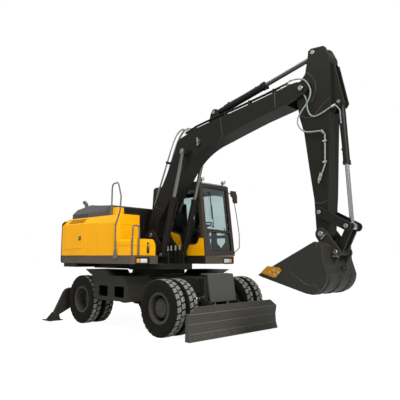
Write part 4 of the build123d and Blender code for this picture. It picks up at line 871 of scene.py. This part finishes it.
white_lenses, amber_lenses = [], []
for face_x, lenses in ((0.660, ((-1.120, -1.040, amber_lenses), (-1.022, -0.860, white_lenses))),
                       (1.190, ((0.885, 1.050, white_lenses), (1.068, 1.135, amber_lenses)))):
    for low, high, group in lenses:
        group.append(cube((face_x - 0.0205, low - 0.002, 1.339), (face_x - 0.004, high + 0.002, 1.423),
                          0.004))
lamp_panels = ((0.660, -1.155, -0.805), (1.190, 0.850, 1.165))
surrounds = [cube((face_x - 0.0225, low + 0.001, 1.317), (face_x - 0.0195, high - 0.001, 1.445))
             for face_x, low, high in lamp_panels]
surrounds += [flow(rounded((low + 0.004, 1.320), (high - 0.004, 1.442), 0.024,
                           lambda y, z: Vector((face_x - 0.001, y, z))), 0.013, smooth=False, closed=True)
              for face_x, low, high in lamp_panels]
fasten(joined(surrounds), "front_lamp_surrounds", black_plastic, "upper")
fasten(joined(white_lenses), "front_lamp_lenses", clear_lens, "upper")
fasten(joined(amber_lenses), "turn_lamp_lenses", amber_lens, "upper")


def holed_plate(outline, holes, y_low, y_high):
    """An upright plate of a side outline with holes in it, between two places across."""
    curve = bpy.data.curves.new("plate", "CURVE")
    curve.dimensions = "2D"
    curve.fill_mode = "BOTH"
    curve.extrude = (y_high - y_low) / 2
    for loop in (outline, *holes):
        spline = curve.splines.new("POLY")
        spline.points.add(len(loop) - 1)
        for point, (x, z) in zip(spline.points, loop):
            point.co = (x, z, 0.0, 1.0)
        spline.use_cyclic_u = True
    piece = bpy.data.objects.new("plate", curve)
    bpy.context.scene.collection.objects.link(piece)
    alone(piece)
    bpy.ops.object.convert(target="MESH")
    piece = bpy.context.object
    piece.rotation_euler = (math.pi / 2, 0.0, 0.0)
    piece.location = (0.0, (y_low + y_high) / 2, 0.0)
    bpy.ops.object.transform_apply(location=True, rotation=True, scale=True)
    return piece


door_trim = holed_plate(((0.060, 1.610), (1.030, 1.610), (0.985, 2.060), (0.640, 2.110), (0.060, 2.180)),
                        (((0.680, 2.030), (0.936, 2.040), (0.951, 1.797), (0.824, 1.670), (0.696, 1.779)),
                         ((0.432, 2.051), (0.509, 2.048), (0.509, 1.759), (0.449, 1.760))), 1.176, 1.188)
fasten(door_trim, "cab_door_trim", teal_plastic, "cab_door", smooth=0)
console = cube((0.900, 0.420, 1.560), (1.060, 0.560, 2.020), 0.030)
dash = cube((0.560, 0.380, 2.085), (0.700, 0.480, 2.300), 0.020)
fasten(joined([console, dash]), "cab_side_console", teal_plastic, "upper")
handle = flow([(0.860, 1.236, 1.930), (0.860, 1.275, 1.945), (0.860, 1.275, 2.115), (0.860, 1.236, 2.130)],
              0.011)
latch = cube((0.790, 1.236, 1.990), (0.835, 1.252, 2.060), 0.005)
fasten(joined([handle, latch]), "cab_door_handle", black_plastic, "cab_door")
hinges = [cube((0.005, 1.232, z - 0.050), (0.036, 1.252, z + 0.050), 0.008) for z in (1.750, 2.250, 2.800)]
fasten(joined(hinges), "cab_door_hinges", black_plastic, "upper")

# Seat
# A foam seat and back in woven black cloth, crowned in the middle and drawn in at their corners,
# on a plastic pedestal, with a headrest above the back.
def cushion(name, centre, size, crown, turn):
    """A padded block: its edges rounded, its middle raised, turned about the axis across the cab."""
    bpy.ops.object.select_all(action="DESELECT")
    bpy.ops.mesh.primitive_cube_add(size=1.0)
    pad = bpy.context.object
    pad.scale = size
    bpy.ops.object.transform_apply(scale=True)
    modify(pad, "BEVEL", width=min(size) * 0.38, segments=4)
    bpy.ops.object.mode_set(mode="EDIT")
    bpy.ops.mesh.select_all(action="SELECT")
    for axis, extent in enumerate(size[:2]):
        for share in (-0.30, -0.10, 0.10, 0.30):
            side = [0, 0, 0]
            side[axis] = 1
            bpy.ops.mesh.select_all(action="SELECT")
            bpy.ops.mesh.bisect(plane_co=[v * share * extent for v in side], plane_no=side)
    bpy.ops.object.mode_set(mode="OBJECT")
    for vertex in pad.data.vertices:
        across = (1 - (2 * vertex.co.x / size[0]) ** 2) * (1 - (2 * vertex.co.y / size[1]) ** 2)
        if vertex.co.z > 0:
            vertex.co.z += crown * max(across, 0.0)
    modify(pad, "SUBSURF", levels=1)
    pad.rotation_euler = (0.0, math.radians(turn), 0.0)
    pad.location = centre
    fasten(pad, name, seat_cloth, "upper", smooth=60)
    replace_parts(pad, "cab_seat")


def cloth(name, colour, weave):
    """Woven cloth: crossed threads that catch the light."""
    material, tree = new_material(name)
    place = add(tree, "ShaderNodeTexCoord", {})
    threads = [add(tree, "ShaderNodeTexWave", {"Vector": place.outputs["Object"], "Scale": weave},
                   bands_direction=axis) for axis in ("X", "Y")]
    crossed = add(tree, "ShaderNodeMath", {0: threads[0].outputs["Fac"], 1: threads[1].outputs["Fac"]},
                  operation="MAXIMUM")
    bump = add(tree, "ShaderNodeBump", {"Height": crossed.outputs[0], "Strength": 0.4, "Distance": 0.001})
    skin = add(tree, "ShaderNodeBsdfPrincipled", {"Base Color": linear(colour), "Roughness": 0.85,
                                                  "Normal": bump.outputs[0], "Sheen Weight": 0.3})
    add(tree, "ShaderNodeOutputMaterial", {"Surface": skin.outputs[0]})
    return material


seat_cloth = cloth("woven seat cloth", "#1C2022", 160.0)
cushion("seat_cushion", (0.090, 0.765, 2.050), (0.470, 0.480, 0.110), 0.022, 0)
cushion("seat_back", (-0.146, 0.765, 2.430), (0.660, 0.450, 0.105), 0.020, 84)
cushion("seat_headrest", (-0.215, 0.765, 2.735), (0.085, 0.270, 0.075), 0.010, 84)
pedestal = cube((-0.075, 0.605, 1.550), (0.255, 0.925, 1.982), 0.020)
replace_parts(fasten(pedestal, "seat_pedestal", black_plastic, "upper"), "cab_seat")

# House fittings
# Black plastic locks and painted grips on the yellow doors, a toggle catch on the tool box, and
# studded tread plates of black plastic on its lid and on the hood.
for hand, side in (("right", -1), ("left", 1)):
    front = {"right": -1.290, "left": -1.100}[hand]
    low, high = sorted((side * 1.252, side * 1.268))
    lock = cube((front - 0.043, low, 1.828), (front + 0.043, high, 1.914), 0.006)
    fasten(lock, f"door_lock_{hand}", black_plastic, f"service_door_{hand}")
    key = copies(pin_head(0.016), [facing((front, side * 1.266, 1.871), (0, side, 0))])
    fasten(key, f"door_key_{hand}", zinc, f"service_door_{hand}")
    lip = flow([(front - 0.560, side * 1.258, 1.648), (front - 0.080, side * 1.258, 1.648)], 0.009,
               smooth=False)
    fasten(lip, f"door_grip_{hand}", yellow_enamel, f"service_door_{hand}")
catch = cube((0.587, -0.822, 1.530), (0.603, -0.762, 1.672), 0.004)
fasten(catch, "tool_box_catch", black_plastic, "upper")
hook = flow([(0.598, -0.792, 1.600), (0.612, -0.792, 1.620), (0.612, -0.792, 1.700), (0.596, -0.792, 1.722)],
            0.006)
fasten(hook, "tool_box_hook", zinc, "tool_box_lid")
keep = cube((0.587, -0.816, 1.700), (0.599, -0.768, 1.752), 0.003)
fasten(keep, "tool_box_keep", black_plastic, "tool_box_lid")


def tread_plate(low, high):
    """A thin plate with rows of round studs pressed up in it."""
    plate = cube(low, high, 0.001)
    stud = spun([(0.012, 0, 0), (0.009, 0, 0.004), (0.004, 0, 0.004), (0.003, 0, 0.002), (0, 0, 0.002)], 10)
    pitch = 0.05
    places = []
    for i in range(int((high[0] - low[0]) / pitch)):
        for j in range(int((high[1] - low[1]) / pitch)):
            stud_x, stud_y = low[0] + (i + 0.5) * pitch, low[1] + (j + 0.5) * pitch
            places.append(Matrix.Translation((stud_x, stud_y, high[2])))
    return joined([plate, copies(stud, places)])


fasten(tread_plate((0.170, -1.170, 1.820), (0.520, -0.700, 1.824)), "tool_box_tread", black_plastic,
       "tool_box_lid")
fasten(tread_plate((-1.080, -0.780, 2.628), (-0.780, 0.780, 2.632)), "hood_tread", black_plastic,
       "engine_hood")

# Bucket, blade and chassis hardware
# The side cutters are held by plated bolts, the blade's cutting edge and the slew ring by painted ones. Weld
# beads run along the blade's plates, painted a lighter grey as the highlight along its creases.
# The blade's weld beads are painted a lighter grey as a highlight along its creases.
blade_bead_highlight = enamel("weld beads on the blade, lightened as a painted highlight", "#66645E", "#595751", 0.4, 0.0, 0.1, wear=0.8)
cutter_enamel = enamel("ochre enamel on the side cutters", "#A87000", "#9E6A00", 0.50, 0.0, 0.0, wear=0.3)
dress(cutter_enamel, "side_cutters")
cutter_bolts = [((x, boom_y + side * 0.497, z), (0, side, 0)) for side in (-1, 1)
                for x, z in ((3.575, 1.244), (3.660, 1.213), (3.494, 1.206), (3.588, 1.172))]
bolts("cutter_bolts", "bucket", 0.026, cutter_bolts)
edge_bolts = [((2.303, y / 10, 0.096), (0.96, 0, 0.28)) for y in range(-11, 12, 2)]
bolts("blade_edge_bolts", "dozer_blade", 0.026, edge_bolts, blade_enamel)
blade_beads = [flow([(x, -1.235, z), (x, 1.235, z)], 0.005, smooth=False)
               for x, z in ((2.2745, 0.312), (2.3065, 0.481), (2.2855, 0.150))]
fasten(joined(blade_beads), "blade_welds", blade_bead_highlight, "dozer_blade")
bolts("slew_ring_bolts", "chassis", 0.024, ring_places((0, 0, 1.098), (0, 0, 1), 0.613, 36), charcoal_enamel)


# Hood shoulders, welds and fittings
# Plates close the hood's sloped shoulders. Fillet welds run over the joints of the boom's, the arm's and the
# bucket's plates under the paint, painted lighter than the plates as a highlight, and hoses rise to plated
# fittings beside the boom's foot.
hood_slope = ((-2.090, 1.000, 2.464), (-0.715, 1.000, 2.464), (-0.720, 0.898, 2.610), (-1.150, 0.877, 2.640),
              (-1.500, 0.849, 2.680), (-2.010, 0.912, 2.590), (-2.090, 0.989, 2.480))
plates = []
for side in (-1, 1):
    plate = outline_piece([(x, side * y, z) for x, y, z in hood_slope])
    modify(plate, "SOLIDIFY", thickness=0.006, offset=0.0)
    plates.append(plate)
fasten(joined(plates), "hood_shoulders", hood_enamel, "engine_hood", smooth=0)


# The weld beads are painted lighter than the plates, a painted highlight along the joints.
bead_highlight_enamel = enamel("dark grey enamel over weld beads", "#4A4943", "#403F3A", 0.36, 0.1, 0.0, wear=0.3)
bead_radius = 0.0035


def beads(name, body, half, lines):
    """Weld beads along lines on both faces of a box of the boom's plane."""
    made = [flow(route(boom_y + side * half, line), bead_radius) for side in (-1, 1) for line in lines]
    fasten(joined(made), name, bead_highlight_enamel, body)


beads("boom_welds", "boom", 0.196, (((2.145, 4.160), (2.171, 3.926), (2.211, 3.796), (2.144, 3.745)),
                                    ((3.438, 4.335), (3.425, 4.191), (3.451, 4.060)),
                                    ((0.190, 2.560), (0.420, 2.480), (0.500, 2.440))))
beads("arm_welds", "arm", 0.151, (((4.146, 2.335), (4.195, 2.300), (4.310, 2.308), (4.385, 2.350)),
                                  ((3.905, 3.820), (4.141, 3.691), (4.300, 3.900), (4.479, 4.002)),
                                  ((4.064, 4.543), (4.200, 4.420), (4.240, 4.185), (4.140, 4.000))))
beads("bucket_welds", "bucket", 0.466, (((3.846, 1.231), (4.028, 1.115), (4.172, 1.030), (4.298, 1.035),
                                         (4.388, 0.951)), ((3.809, 1.115), (3.893, 1.061))))
fittings, feeds = [], []
for count, (x, y) in enumerate(((0.500, -0.170), (0.560, -0.130), (0.620, -0.060), (0.680, 0.000))):
    top = 1.620 + 0.010 * count
    fittings.append(copies(bolt(0.040), [Matrix.Translation((x, y, top - 0.030))]))
    fittings.append(flow([(x, y, top - 0.040), (x, y, top + 0.070)], 0.015, smooth=False))
    fittings.append(copies(bolt(0.034), [Matrix.Translation((x, y, top + 0.020))]))
    feeds.append(flow([(x, y, 1.325), (x + 0.010, y, 1.460), (x, y, top - 0.035)], 0.013))
fasten(joined(fittings), "swivel_fittings", zinc, "upper")
fasten(joined(feeds), "swivel_hoses", black_rubber, "upper")
